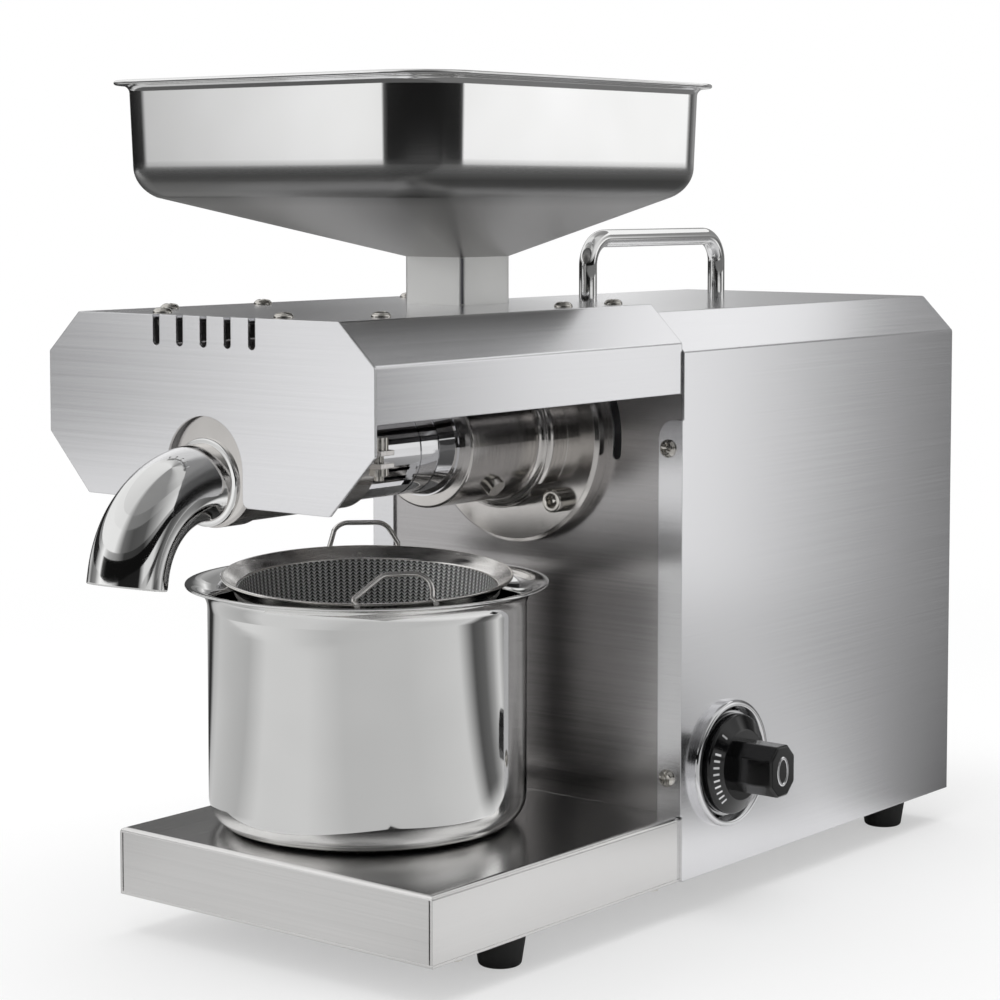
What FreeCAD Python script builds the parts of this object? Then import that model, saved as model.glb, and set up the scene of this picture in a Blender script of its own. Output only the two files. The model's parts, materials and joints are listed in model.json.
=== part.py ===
"""Table-top screw oil press: one STEP file per sub-part, millimetres, +Z up.

The origin lies on the standing plane, below the middle of the base. The press screw
runs along Y: the cake outlet points to -Y, the motor end to +Y, the heat dial to +X.
"""
import FreeCAD
import Part
import math
import os

V = FreeCAD.Vector
AXIS_X = V(1, 0, 0)
AXIS_Y = V(0, 1, 0)
AXIS_UP = V(0, 0, 1)

# Folded sheet body
SHEET = 1.2
BEND = 2.0
BODY_WIDTH = 170.0
BODY_LENGTH = 382.0
PLATFORM_LENGTH = 159.0
FOOT_HEIGHT = 16.0
TRAY_HEIGHT = 27.5
HOUSING_HEIGHT = 237.0
HOUSING_CHAMFER = 16.0
TRAY_FLANGE = 10.0
SEAM = 0.6
STRIP_WIDTH = 12.0
STRIP_HEIGHT = 165.5
STRIP_CORNER = 8.0
PANEL_GAP = 0.3
PANEL_FLANGE = 12.0
FOOT_TOP_R = 11.0
FOOT_BOTTOM_R = 8.5
FOOT_SIDE_INSET = 20.0
FOOT_FRONT_INSET = 63.0
FOOT_REAR_INSET = 26.0
FOOT_WEB = 9.0

# Screws: head radius, head height, shank radius
M4_HEAD_R = 3.8
M4_HEAD_H = 2.2
M4_R = 2.0
M3_HEAD_R = 2.7
M3_HEAD_H = 1.7
M3_R = 1.5
M6_HEAD_R = 5.0
M6_HEAD_H = 6.0
M6_R = 3.0
M6_KEY = 5.0
M6_KEY_DEPTH = 3.0
SCREW_GRIP = 3.0
HOLE_PLAY = 0.1
STRIP_SCREW_INSET = 7.0
STRIP_SCREW_LOW = 15.5
STRIP_SCREW_HIGH = 153.5
BOTTOM_SCREW_INSET = 5.0
BOTTOM_SCREW_YS = (-172.0, -45.0, 12.0, 178.0)

# Head cover over the barrel
HEAD_LENGTH = 191.7
HEAD_NARROWER = 2.0
HEAD_RISE = 3.4
HEAD_SIDE_HEIGHT = 36.4
HEAD_CHAMFER = 15.7
HEAD_GAP = 0.3
FACE_WIDER = 1.0
FACE_HEIGHT = 70.6
FACE_TOP_CHAMFER = 16.0
FACE_FOOT_X = 22.0
FACE_FOOT_Z = 23.0
FACE_CORNER = 1.0
NOTCH_R = 20.0
NOTCH_CORNER = 3.0
SLOT_COUNT = 5
SLOT_WIDTH = 3.5
SLOT_PITCH = 12.6
SLOT_LENGTH = 11.8
SLOT_WRAP = 3.5
RAIL_INSET = 28.0
RAIL_WIDTH = 14.0
RAIL_DEPTH = 13.0
HEAD_SCREW_FRONT_X = 32.0
HEAD_SCREW_FRONT_INSET = 10.0
HEAD_SCREW_RAIL_YS = (-187.0, -42.0)
HEAD_SCREW_LEFT_Y = -134.0
HEAD_SCREW_RIGHT_Y = -76.0

# Carry handle
HANDLE_ROD_R = 4.0
HANDLE_FRONT_Y = 15.0
HANDLE_SPAN = 101.0
HANDLE_HEIGHT = 29.0
HANDLE_BEND = 12.0
HANDLE_SCREW_DEPTH = 12.0

# Screw axis, barrel holder and barrel, measured forward (to -Y) from the front panel
AXIS_BELOW_TOP = 54.0
RUN_FIT = 0.05
SAFE_GAP = 0.3
FLANGE_R = 46.5
FLANGE_THICK = 8.0
FLANGE_CHAMFER = 1.5
HUB_R = 26.5
HUB_LENGTH = 58.0
BOSS_R = 31.0
BOSS_LENGTH = 12.0
FLANGE_BOLT_PCD = 75.0
SPOT_R = 8.0
HOLDER_BACK_WALL = 10.0
SEAL_R = 16.0
BARREL_TAIL_R = 20.0
BARREL_TAIL_PLAY = 2.0
BARREL_RING_R = 21.3
BARREL_RING_WIDTH = 2.0
BARREL_R = 19.3
BARREL_FLARE = 10.0
BARREL_BAND = 11.0
GROOVE = 0.6
GROOVE_WIDTH = 1.0
BARREL_LENGTH = 111.0
BARREL_BORE_R = 14.5
BARREL_NECK_R = 18.0
BARREL_NECK_LENGTH = 6.3
DIE_R = 10.0
DIE_LENGTH = 9.3
DIE_CONE = 6.0
DRAIN_START = 25.0
DRAIN_LENGTH = 25.0
DRAIN_WIDTH = 10.0
DRAIN_DEPTH = 2.0
DRAIN_ANGLE = 29.0
SLIT = 1.5
SLIT_PITCH = 4.0
FEED_PORT = 26.0
NECK_Y = -75.6
LOCK_BOLT_Y = -77.5
LOCK_BOLT_ANGLE = -40.0
LOCK_HEAD_R = 4.2
LOCK_HEAD_H = 3.5
LOCK_HEAD_SINK = 0.4

# Press screw
SCREW_PLAY = 0.3
SCREW_PITCH = 16.0
SCREW_FLIGHT = 4.0
SCREW_ROOT_REAR = 7.5
SCREW_ROOT_FRONT = 11.5
SCREW_TIP_R = 8.0
SCREW_COLLAR = 6.0
HEX_AF = 14.0
HEX_PLAY = 0.1
HEX_LENGTH = 26.0

# Heater band, outlet collar and elbow
HEATER_R = 21.5
HEATER_LENGTH = 58.0
HEATER_EAR = 9.0
HEATER_EAR_WIDTH = 8.0
HEATER_EAR_THICK = 2.0
HEATER_SPLIT = 3.0
CLAMP_HEAD = 5.0
CLAMP_NUT = 3.0
POST_R = 3.0
POST_HEIGHT = 6.0
POST_STUD = 5.0
POST_PITCH = 14.0
COLLAR_R = 22.5
COLLAR_LENGTH = 12.0
COLLAR_LIP = 3.8
OUTLET_DROP = 5.0
ELBOW_R = 14.8
ELBOW_WALL = 1.5
ELBOW_BEND = 36.5
ELBOW_SWEEP = 80.0
ELBOW_TAIL = 5.0
ELBOW_FLANGE = 1.2
ELBOW_RING_R = 16.8
ELBOW_RING_WIDTH = 3.0
ELBOW_ROOT = 2.7

# Hopper, its neck and the feed chute
HOPPER_WIDTH = 168.4
HOPPER_LENGTH = 186.2
HOPPER_CENTRE_Y = -100.7
HOPPER_CORNER = 22.0
HOPPER_ABOVE_HEAD = 90.6
HOPPER_WALL = 1.0
HOPPER_DRAFT = 1.0
HOPPER_WALL_HEIGHT = 34.0
HOPPER_KNEE_R = 14.0
HOPPER_KNEE_ANGLE = 64.0
HOPPER_RIM = 5.2
HOPPER_RIM_THICK = 1.8
HOPPER_COVE = 3.0
NECK_WIDTH = 31.5
NECK_ABOVE_HEAD = 19.6
NECK_CORNER = 2.0
NECK_DEPTH = 44.0
NECK_PLAY = 0.3
CHUTE_WALL = 3.0
CHUTE_ROOF_GAP = 1.5

# Oil pot and strainer
POT_X = -13.0
POT_Y = -118.0
POT_R = 65.5
POT_RIM_R = 74.7
POT_HEADROOM = 33.0
POT_WALL = 1.0
POT_CORNER = 12.0
STRAINER_R = 60.0
STRAINER_COLLAR = 6.5
STRAINER_DISH = 4.6
STRAINER_WALL = 1.0
STRAINER_LIP = 3.4
STRAINER_RISE = 3.1
STRAINER_TILT = 3.3
STRAINER_TURN = 44.0
MESH_WALL = 0.6
MESH_DEPTH = 44.0
MESH_TAPER = 4.0
MESH_CORNER = 12.0
WIRE_R = 1.1
LOOP_WIDTH = 31.0
LOOP_TOP = 20.0
LOOP_HEIGHT = 10.0
LOOP_SHIFT = 7.0
LOOP_LEAN = 6.0
LOOP_FOOT = 8.0
LOOP_KINK = 1.0
LOOP_TURN = 7.5

# Heat dial and thermostat
DIAL_Y = 1.0
DIAL_Z = 60.8
BEZEL_R = 27.0
BEZEL_HEIGHT = 3.6
BEZEL_LIP = 1.4
BEZEL_SEAT = 0.8
DIAL_R = 21.3
DIAL_SKIRT = 4.0
DIAL_CONE = 3.5
DIAL_NECK_R = 15.0
GRIP_WIDTH = 18.0
GRIP_HEIGHT = 21.5
GRIP_CHAMFER = 5.2
GRIP_CORNER = 1.2
GRIP_ROUND = 0.9
GRIP_END = 28.5
THERMOSTAT_R = 14.0
THERMOSTAT_LENGTH = 26.0
THERMOSTAT_TAB = (8.0, 6.0, 0.8)
THERMOSTAT_TAB_PITCH = 16.0
STEM_R = 3.0
STEM_DEPTH = 14.0

# Gearbox: two reductions from the motor to the press screw
LOW_MODULE = 1.5
LOW_WHEEL_TEETH = 56
LOW_PINION_TEETH = 12
HIGH_MODULE = 1.0
HIGH_WHEEL_TEETH = 64
HIGH_PINION_TEETH = 12
BACKLASH = 0.2
PRESSURE_ANGLE = math.radians(20.0)
WHEEL_ADDENDUM = 0.74
PINION_ADDENDUM = 1.0
DEDENDUM = 1.25
LOW_FACE = 16.0
HIGH_FACE = 10.0
PINION_EXTRA = 1.0
GEARBOX_WALL = 7.0
GEARBOX_TOP_R = 48.0
GEARBOX_FOOT_R = 44.0
GEARBOX_SKIN = 4.0
GEARBOX_DEPTH = 43.0
EAR_R = 5.5
EAR_TOP_ANGLE = 68.0
EAR_FOOT_ANGLE = 50.0
GEARBOX_SCREW_GRIP = 8.0
OUTPUT_R = 14.0
OUTPUT_BEARING_R = 24.0
LAY_R = 6.0
LAY_BEARING_R = 13.0
BEARING_WIDTH = 7.0
SHAFT_END_GAP = 0.5
GEAR_SIDE_GAP = 1.0
STAGE_GAP = 3.0

# Motor
MOTOR_R = 46.0
MOTOR_CAN_LENGTH = 84.0
MOTOR_BELL_LENGTH = 15.0
MOTOR_REAR_BELL = 14.0
MOTOR_WALL = 3.0
MOTOR_SHAFT_R = 4.5
MOTOR_BEARING_R = 12.0
ROTOR_R = 27.0
ROTOR_LENGTH = 60.0
AIR_GAP = 0.6
FAN_R = 38.0
FAN_BLADES = 7
FAN_WIDTH = 8.0
FAN_GAP = 2.0
FAN_BLADE_THICK = 1.6
FAN_BLADE_PITCH = 35.0
MOTOR_BOLT_R = 33.0
MOTOR_BOLT_ANGLE = 20.0
MOTOR_BOLT_GRIP = 9.0
MOTOR_BELL_HOLLOW = 3.5
MOTOR_SEAT_WALL = 2.0
CRADLE_PLATE = 3.0
CRADLE_WIDTH = 80.0
CRADLE_LENGTH = 34.0

# Electrical parts at the rear
BOARD_LENGTH = 64.0
BOARD_WIDTH = 29.0
BOARD_SIDE_INSET = 7.0
BOARD_REAR_INSET = 16.0
BOARD_THICK = 1.6
STANDOFF_H = 8.0
STANDOFF_R = 2.5
CAPACITOR = (7.0, 22.0)
RELAY = (16.0, 18.0, 14.0)
TERMINAL = (6.0, 13.0, 9.0)
INLET_SIDE_INSET = 40.0
INLET_Z = 78.0
INLET_PLATE = (50.0, 24.0)
INLET_BODY = (28.0, 20.0)
INLET_DEPTH = 18.0
INLET_SCREW_PITCH = 40.0
INLET_WALL = 2.0
INLET_CORNER = 3.0
PIN_SIZE = (2.0, 4.0)
PIN_PITCH = 7.0
PIN_OFFSET = 2.0
PIN_LENGTH = 10.0
SWITCH_Z = 122.0
SWITCH_X = 22.0
SWITCH_PLATE = (22.0, 30.0)
SWITCH_BODY = (19.0, 27.0)
SWITCH_DEPTH = 18.0
SWITCH_TILT = 8.0
SWITCH_WALL = 2.0
AXLE_R = 1.5
AXLE_DEPTH = 3.0
ROCKER_PLAY = 0.5
ROCKER_REACH = 6.5
ROCKER_DIP = 1.7
PLATE_THICK = 2.0
FUSE_X = 3.0
FUSE_R = 6.5
FUSE_CAP_R = 8.0
FUSE_LENGTH = 24.0
FUSE_CAP = 4.0
FUSE_SLOT = 1.2
VENT_COUNT = 6
VENT_PITCH = 10.0
VENT_WIDTH = 4.3
VENT_LENGTH = 96.0
VENT_LOW_Z = 170.0
ARC_VENT_R = 51.0
ARC_VENT_START = -7.0
ARC_VENT_END = 60.0

# Places and sizes that follow from the values above
HEAD_WIDTH = BODY_WIDTH - HEAD_NARROWER
FACE_WIDTH = BODY_WIDTH + FACE_WIDER
RAIL_X = HEAD_WIDTH / 2 - RAIL_INSET
FOOT_X = BODY_WIDTH / 2 - FOOT_SIDE_INSET
INLET_X = BODY_WIDTH / 2 - INLET_SIDE_INSET
TRAY_TOP_Z = FOOT_HEIGHT + TRAY_HEIGHT
HOUSING_TOP_Z = FOOT_HEIGHT + HOUSING_HEIGHT
FRONT_Y = -BODY_LENGTH / 2
REAR_Y = BODY_LENGTH / 2
PANEL_Y = FRONT_Y + PLATFORM_LENGTH
PANEL_BACK_Y = PANEL_Y + SHEET
REAR_PANEL_Y = REAR_Y - SHEET
INNER_HALF = BODY_WIDTH / 2 - SHEET
AXIS_Z = HOUSING_TOP_Z - AXIS_BELOW_TOP
HEAD_REAR_Y = PANEL_Y - HEAD_GAP
HEAD_FRONT_Y = HEAD_REAR_Y - HEAD_LENGTH
HEAD_TOP_Z = HOUSING_TOP_Z + HEAD_RISE
HEAD_BOTTOM_Z = HEAD_TOP_Z - HEAD_SIDE_HEIGHT
HOPPER_TOP_Z = HEAD_TOP_Z + HOPPER_ABOVE_HEAD
HOPPER_KNEE_Z = HOPPER_TOP_Z - HOPPER_WALL_HEIGHT
NECK_TOP_Z = HEAD_TOP_Z + NECK_ABOVE_HEAD
POT_TOP_Z = AXIS_Z - COLLAR_R - POT_HEADROOM
FLANGE_Y = PANEL_Y - FLANGE_THICK
HUB_Y = FLANGE_Y - HUB_LENGTH
HOLDER_BORE_Y = PANEL_Y - HOLDER_BACK_WALL
BARREL_REAR_Y = HOLDER_BORE_Y - BARREL_TAIL_PLAY
BARREL_RING_Y = HUB_Y - BARREL_RING_WIDTH
BARREL_SHOULDER_Y = HUB_Y - BARREL_LENGTH
BARREL_FRONT_Y = BARREL_SHOULDER_Y - BARREL_NECK_LENGTH
SCREW_TIP_Y = BARREL_FRONT_Y + DIE_LENGTH - SAFE_GAP
COLLAR_Y = BARREL_SHOULDER_Y - COLLAR_LENGTH
ELBOW_BEND_Y = COLLAR_Y - SAFE_GAP - ELBOW_RING_WIDTH - ELBOW_ROOT
LAY_Z = AXIS_Z - LOW_MODULE * (LOW_WHEEL_TEETH + LOW_PINION_TEETH) / 2
OUTLET_Z = AXIS_Z - OUTLET_DROP
MOTOR_Z = LAY_Z - HIGH_MODULE * (HIGH_WHEEL_TEETH + HIGH_PINION_TEETH) / 2
GEARBOX_Y = PANEL_BACK_Y
LOW_Y = GEARBOX_Y + GEARBOX_WALL + GEAR_SIDE_GAP
HIGH_Y = LOW_Y + LOW_FACE + STAGE_GAP
GEARBOX_BACK_Y = GEARBOX_Y + GEARBOX_DEPTH
GEARBOX_REAR_Y = GEARBOX_BACK_Y + GEARBOX_WALL
OUTPUT_FRONT_Y = HOLDER_BORE_Y - BARREL_TAIL_PLAY / 4
MOTOR_CAN_Y = GEARBOX_REAR_Y + MOTOR_BELL_LENGTH
MOTOR_REAR_Y = MOTOR_CAN_Y + MOTOR_CAN_LENGTH
MOTOR_END_Y = MOTOR_REAR_Y + MOTOR_REAR_BELL
NECK_BOTTOM_Z = NECK_TOP_Z - NECK_DEPTH


def box(x0, x1, y0, y1, z0, z1):
    return Part.makeBox(x1 - x0, y1 - y0, z1 - z0, V(x0, y0, z0))


def rod_x(r, x0, x1, y, z):
    return Part.makeCylinder(r, x1 - x0, V(x0, y, z), AXIS_X)


def rod_y(r, y0, y1, x=0.0, z=AXIS_Z):
    return Part.makeCylinder(r, y1 - y0, V(x, y0, z), AXIS_Y)


def rod_z(r, z0, z1, x, y):
    return Part.makeCylinder(r, z1 - z0, V(x, y, z0), AXIS_UP)


def tube_y(r_out, r_in, y0, y1, x=0.0, z=AXIS_Z):
    return rod_y(r_out, y0, y1, x, z).cut(rod_y(r_in, y0, y1, x, z))


def rounded_wire(points, radius):
    """A closed wire through the points, with each corner turned into a tangent arc."""
    count = len(points)
    radii = radius if isinstance(radius, (list, tuple)) else [radius] * count
    ends = []
    for i, corner in enumerate(points):
        back = (points[i - 1] - corner).normalize()
        ahead = (points[(i + 1) % count] - corner).normalize()
        half = back.getAngle(ahead) / 2
        if radii[i] <= 0 or half > math.radians(89.5):
            ends.append((corner, None, corner))
            continue
        reach = radii[i] / math.tan(half)
        middle = (back + ahead).normalize()
        centre = corner + middle * (radii[i] / math.sin(half))
        ends.append((corner + back * reach, centre - middle * radii[i], corner + ahead * reach))
    edges = []
    for i, (start, arc_middle, end) in enumerate(ends):
        if arc_middle is not None:
            edges.append(Part.Arc(start, arc_middle, end).toShape())
        following = ends[(i + 1) % count][0]
        if end.distanceToPoint(following) > 1e-6:
            edges.append(Part.LineSegment(end, following).toShape())
    return Part.Wire(edges)


def prism(points, radius, direction):
    return Part.Face(rounded_wire(points, radius)).extrude(direction)


def rounded_rectangle(cx, cy, half_x, half_y, r, z):
    corners = [
        V(cx - half_x, cy - half_y, z),
        V(cx + half_x, cy - half_y, z),
        V(cx + half_x, cy + half_y, z),
        V(cx - half_x, cy + half_y, z),
    ]
    return rounded_wire(corners, r)


def revolve_y(profile, radius=0.0, x=0.0, z=AXIS_Z):
    """Turn (radius, y) points about an axis along Y."""
    points = [V(x + r, y, z) for r, y in profile]
    face = Part.Face(rounded_wire(points, radius))
    return face.revolve(V(x, 0, z), AXIS_Y, 360)


def revolve_x(profile, radius, y, z):
    """Turn (x, radius) points about an axis along X."""
    points = [V(x, y, z + r) for x, r in profile]
    face = Part.Face(rounded_wire(points, radius))
    return face.revolve(V(0, y, z), AXIS_X, 360)


def revolve_z(profile, radius, x, y):
    """Turn (radius, z) points about an axis along Z."""
    points = [V(x + r, y, z) for r, z in profile]
    face = Part.Face(rounded_wire(points, radius))
    return face.revolve(V(x, y, 0), AXIS_UP, 360)


def turned_y(shape, angle, x=0.0, z=AXIS_Z):
    """A copy turned about an axis along Y, where a positive angle lifts +X towards +Z."""
    copy = shape.copy()
    copy.rotate(V(x, 0, z), AXIS_Y, -angle)
    return copy


def screw(seat, direction, head_r, head_h, shank_r, length):
    """A screw whose head stands on the seat point and whose shank goes along direction."""
    head = Part.makeCylinder(head_r, head_h, seat, direction * -1)
    shank = Part.makeCylinder(shank_r, length, seat, direction)
    return head.fuse(shank).removeSplitter()


def group(shapes):
    return Part.makeCompound(shapes)


def cut_all(shape, tools):
    return shape.cut(group(tools)) if tools else shape


def octagon_top(half, z0, z1, chamfer, y):
    """Outline with an upright lower part and two chamfered shoulders, in a plane across Y."""
    return [
        V(-half, y, z0),
        V(half, y, z0),
        V(half, y, z1 - chamfer),
        V(half - chamfer, y, z1),
        V(-half + chamfer, y, z1),
        V(-half, y, z1 - chamfer),
    ]


def inset_chamfer(chamfer, depth):
    return chamfer - depth * (2 - math.sqrt(2))


def folded_hood(half, z0, z1, chamfer, y0, y1):
    """A sheet folded over the top, open below and at both ends."""
    length = V(0, y1 - y0, 0)
    bends = [0, 0, BEND, BEND, BEND, BEND]
    inner_bends = [0, 0] + [BEND - SHEET] * 4
    outer = prism(octagon_top(half, z0, z1, chamfer, y0), bends, length)
    inner_outline = octagon_top(half - SHEET, z0, z1 - SHEET, inset_chamfer(chamfer, SHEET), y0)
    return outer.cut(prism(inner_outline, inner_bends, length))


def panel_outline(y):
    """Front and rear panels fill the housing cover with a small gap."""
    depth = SHEET + PANEL_GAP
    chamfer = inset_chamfer(HOUSING_CHAMFER, depth)
    return octagon_top(BODY_WIDTH / 2 - depth, TRAY_TOP_Z, HOUSING_TOP_Z - depth, chamfer, y)


def strip_screw_places():
    x = BODY_WIDTH / 2 - STRIP_SCREW_INSET
    heights = (TRAY_TOP_Z + STRIP_SCREW_LOW, TRAY_TOP_Z + STRIP_SCREW_HIGH)
    return [(side * x, z) for side in (-1, 1) for z in heights]


def foot_places():
    ys = (FRONT_Y + FOOT_FRONT_INSET, REAR_Y - FOOT_REAR_INSET)
    return [(side * FOOT_X, y) for side in (-1, 1) for y in ys]


def bottom_screw_places():
    x = INNER_HALF - BOTTOM_SCREW_INSET
    return [(side * x, y) for side in (-1, 1) for y in BOTTOM_SCREW_YS]


def flange_bolt_places():
    places = []
    for quarter in range(4):
        angle = math.radians(45 + 90 * quarter)
        r = FLANGE_BOLT_PCD / 2
        places.append((r * math.cos(angle), AXIS_Z + r * math.sin(angle)))
    return places


def base_tray():
    low = FOOT_HEIGHT + SHEET
    pan = box(-INNER_HALF, INNER_HALF, FRONT_Y, REAR_Y, low, TRAY_TOP_Z)
    top_edges = [e for e in pan.Edges if e.BoundBox.ZMin > TRAY_TOP_Z - 0.01]
    pan = pan.makeFillet(BEND, top_edges)
    half = INNER_HALF - SHEET
    hollow = box(-half, half, FRONT_Y + SHEET, REAR_Y - SHEET, low + SHEET, TRAY_TOP_Z - SHEET)
    inner_edges = [e for e in hollow.Edges if e.BoundBox.ZMin > TRAY_TOP_Z - SHEET - 0.01]
    hollow = hollow.makeFillet(BEND - SHEET, inner_edges)
    mouth = INNER_HALF - TRAY_FLANGE
    opening = box(-mouth, mouth, FRONT_Y + TRAY_FLANGE, REAR_Y - TRAY_FLANGE, low, low + SHEET)
    cuts = [hollow, opening]
    for side in (-1, 1):
        for end_y in (FRONT_Y, REAR_Y - SHEET):
            x = side * (half - SEAM / 2)
            seam_top = TRAY_TOP_Z - BEND
            cuts.append(box(x - SEAM / 2, x + SEAM / 2, end_y, end_y + SHEET, low, seam_top))
    for x, y in bottom_screw_places():
        cuts.append(rod_z(M3_R + HOLE_PLAY, low, low + SHEET, x, y))
    for x in (-CRADLE_WIDTH / 2 + EAR_R, CRADLE_WIDTH / 2 - EAR_R):
        cuts.append(rod_z(M4_R + HOLE_PLAY, TRAY_TOP_Z - SHEET, TRAY_TOP_Z, x, cradle_middle_y()))
    return cut_all(pan, cuts)


def bottom_plate():
    plate = box(-INNER_HALF, INNER_HALF, FRONT_Y, REAR_Y, FOOT_HEIGHT, FOOT_HEIGHT + SHEET)
    cuts = []
    for x, y in bottom_screw_places():
        cuts.append(rod_z(M3_R + HOLE_PLAY, FOOT_HEIGHT, FOOT_HEIGHT + SHEET, x, y))
    for x, y in foot_places():
        cuts.append(rod_z(M4_R + HOLE_PLAY, FOOT_HEIGHT, FOOT_HEIGHT + SHEET, x, y))
    return cut_all(plate, cuts)


def rubber_foot(x, y):
    hole = M4_R + HOLE_PLAY
    pocket = M4_HEAD_R + HOLE_PLAY
    seat = FOOT_HEIGHT - FOOT_WEB
    profile = [
        (pocket, 0),
        (FOOT_BOTTOM_R, 0),
        (FOOT_TOP_R, FOOT_HEIGHT),
        (hole, FOOT_HEIGHT),
        (hole, seat),
        (pocket, seat),
    ]
    return revolve_z(profile, [0, 1.5, 0, 0, 0, 0], x, y)


def foot_screw(x, y):
    seat = V(x, y, FOOT_HEIGHT - FOOT_WEB)
    return screw(seat, AXIS_UP, M4_HEAD_R, M4_HEAD_H, M4_R, FOOT_WEB + SHEET + SCREW_GRIP)


def bottom_screw(x, y):
    return screw(V(x, y, FOOT_HEIGHT), AXIS_UP, M3_HEAD_R, M3_HEAD_H, M3_R, 3 * SHEET)


def round_place(r, angle, y):
    return V(r * math.cos(angle), y, AXIS_Z + r * math.sin(angle))


def arc_slot(r, width, start, end, y0, y1):
    """A slot bent round the screw axis, with round ends; angles in degrees from +X to +Z."""
    a0, a1 = math.radians(start), math.radians(end)
    angles = (a0, (a0 + a1) / 2, a1)
    inner = [round_place(r - width / 2, a, y0) for a in angles]
    outer = [round_place(r + width / 2, a, y0) for a in reversed(angles)]
    edges = [
        Part.Arc(*inner).toShape(),
        Part.LineSegment(inner[2], outer[0]).toShape(),
        Part.Arc(*outer).toShape(),
        Part.LineSegment(outer[2], inner[0]).toShape(),
    ]
    slot = Part.Face(Part.Wire(edges)).extrude(V(0, y1 - y0, 0))
    for a in (a0, a1):
        end_rod = rod_y(width / 2, y0, y1, r * math.cos(a), AXIS_Z + r * math.sin(a))
        slot = slot.fuse(end_rod)
    return slot


def straight_slot(x, z0, z1, width, y0, y1):
    half = width / 2
    corners = [V(x - half, y0, z0), V(x + half, y0, z0), V(x + half, y0, z1), V(x - half, y0, z1)]
    return prism(corners, half * 0.999, V(0, y1 - y0, 0))


def front_panel():
    sheet = prism(panel_outline(PANEL_Y), 0, V(0, SHEET, 0))
    half = INNER_HALF - PANEL_GAP
    y0 = PANEL_BACK_Y
    foot = box(-half, half, y0, y0 + PANEL_FLANGE, TRAY_TOP_Z, TRAY_TOP_Z + SHEET)
    panel = sheet.fuse(foot).removeSplitter()
    cuts = [rod_y(OUTPUT_BEARING_R, PANEL_Y, PANEL_BACK_Y)]
    for side in (0, 1):
        start = 180 - ARC_VENT_END if side else ARC_VENT_START
        end = 180 - ARC_VENT_START if side else ARC_VENT_END
        cuts.append(arc_slot(ARC_VENT_R, VENT_WIDTH, start, end, PANEL_Y, PANEL_BACK_Y))
    for x, z in flange_bolt_places():
        cuts.append(rod_y(M6_R + HOLE_PLAY, PANEL_Y, PANEL_BACK_Y, x, z))
    for x, z in strip_screw_places():
        cuts.append(rod_y(M4_R + HOLE_PLAY, PANEL_Y, PANEL_BACK_Y, x, z))
    return cut_all(panel, cuts)


def folded_strip(side, y):
    """The edge of the housing cover that is folded in over a panel, with a round top corner."""
    outer = side * BODY_WIDTH / 2
    inner = side * (BODY_WIDTH / 2 - STRIP_WIDTH)
    top = TRAY_TOP_Z + STRIP_HEIGHT
    corners = [V(outer, y, TRAY_TOP_Z), V(inner, y, TRAY_TOP_Z), V(inner, y, top), V(outer, y, top)]
    return prism(corners, [0, 0, STRIP_CORNER, 0], V(0, SHEET, 0))


def housing_cover():
    half = BODY_WIDTH / 2
    hood = folded_hood(half, FOOT_HEIGHT, HOUSING_TOP_Z, HOUSING_CHAMFER, PANEL_Y, REAR_Y)
    strips = []
    for side in (-1, 1):
        strips.append(folded_strip(side, PANEL_Y - SHEET))
        strips.append(folded_strip(side, REAR_PANEL_Y))
    cover = hood.multiFuse(strips).removeSplitter()
    cuts = [rod_x(STEM_R + 1, INNER_HALF - 1, half + 1, DIAL_Y, DIAL_Z)]
    for x, z in strip_screw_places():
        cuts.append(rod_y(M4_R + HOLE_PLAY, PANEL_Y - SHEET, PANEL_Y, x, z))
        cuts.append(rod_y(M4_R + HOLE_PLAY, REAR_PANEL_Y, REAR_Y, x, z))
    for y in handle_leg_ys():
        cuts.append(rod_z(M4_R + HOLE_PLAY, HOUSING_TOP_Z - SHEET, HOUSING_TOP_Z, 0, y))
    return cut_all(cover, cuts)


def cover_screws():
    """The screws through the folded strips, into the front panel and into the rear panel."""
    screws = []
    for x, z in strip_screw_places():
        for seat, direction in ((V(x, PANEL_Y - SHEET, z), AXIS_Y), (V(x, REAR_Y, z), AXIS_Y * -1)):
            screws.append(screw(seat, direction, M4_HEAD_R, M4_HEAD_H, M4_R, 4 * SHEET))
    return screws


def rear_panel():
    y0 = REAR_PANEL_Y - SHEET
    sheet = prism(panel_outline(y0), 0, V(0, SHEET, 0))
    half = INNER_HALF - PANEL_GAP
    foot = box(-half, half, y0 - PANEL_FLANGE, y0, TRAY_TOP_Z, TRAY_TOP_Z + SHEET)
    panel = sheet.fuse(foot).removeSplitter()
    y1 = REAR_PANEL_Y
    cuts = []
    for row in range(VENT_COUNT):
        z = VENT_LOW_Z + row * VENT_PITCH
        w = VENT_WIDTH / 2
        x = VENT_LENGTH / 2
        corners = [V(-x, y0, z - w), V(x, y0, z - w), V(x, y0, z + w), V(-x, y0, z + w)]
        cuts.append(prism(corners, w * 0.999, V(0, SHEET, 0)))
    for x, z in strip_screw_places():
        cuts.append(rod_y(M4_R + HOLE_PLAY, y0, y1, x, z))
    cuts.append(centred_box(INLET_X, INLET_Z, INLET_BODY, y0, y1))
    for side in (-1, 1):
        cuts.append(centred_box(side * SWITCH_X, SWITCH_Z, SWITCH_BODY, y0, y1))
        cuts.append(rod_y(M3_R + HOLE_PLAY, y0, y1, INLET_X + side * INLET_SCREW_PITCH / 2, INLET_Z))
    cuts.append(rod_y(FUSE_R, y0, y1, FUSE_X, INLET_Z))
    return cut_all(panel, cuts)


def centred_box(x, z, size, y0, y1):
    return box(x - size[0] / 2, x + size[0] / 2, y0, y1, z - size[1] / 2, z + size[1] / 2)


def handle_leg_ys():
    return (HANDLE_FRONT_Y, HANDLE_FRONT_Y + HANDLE_SPAN)


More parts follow.
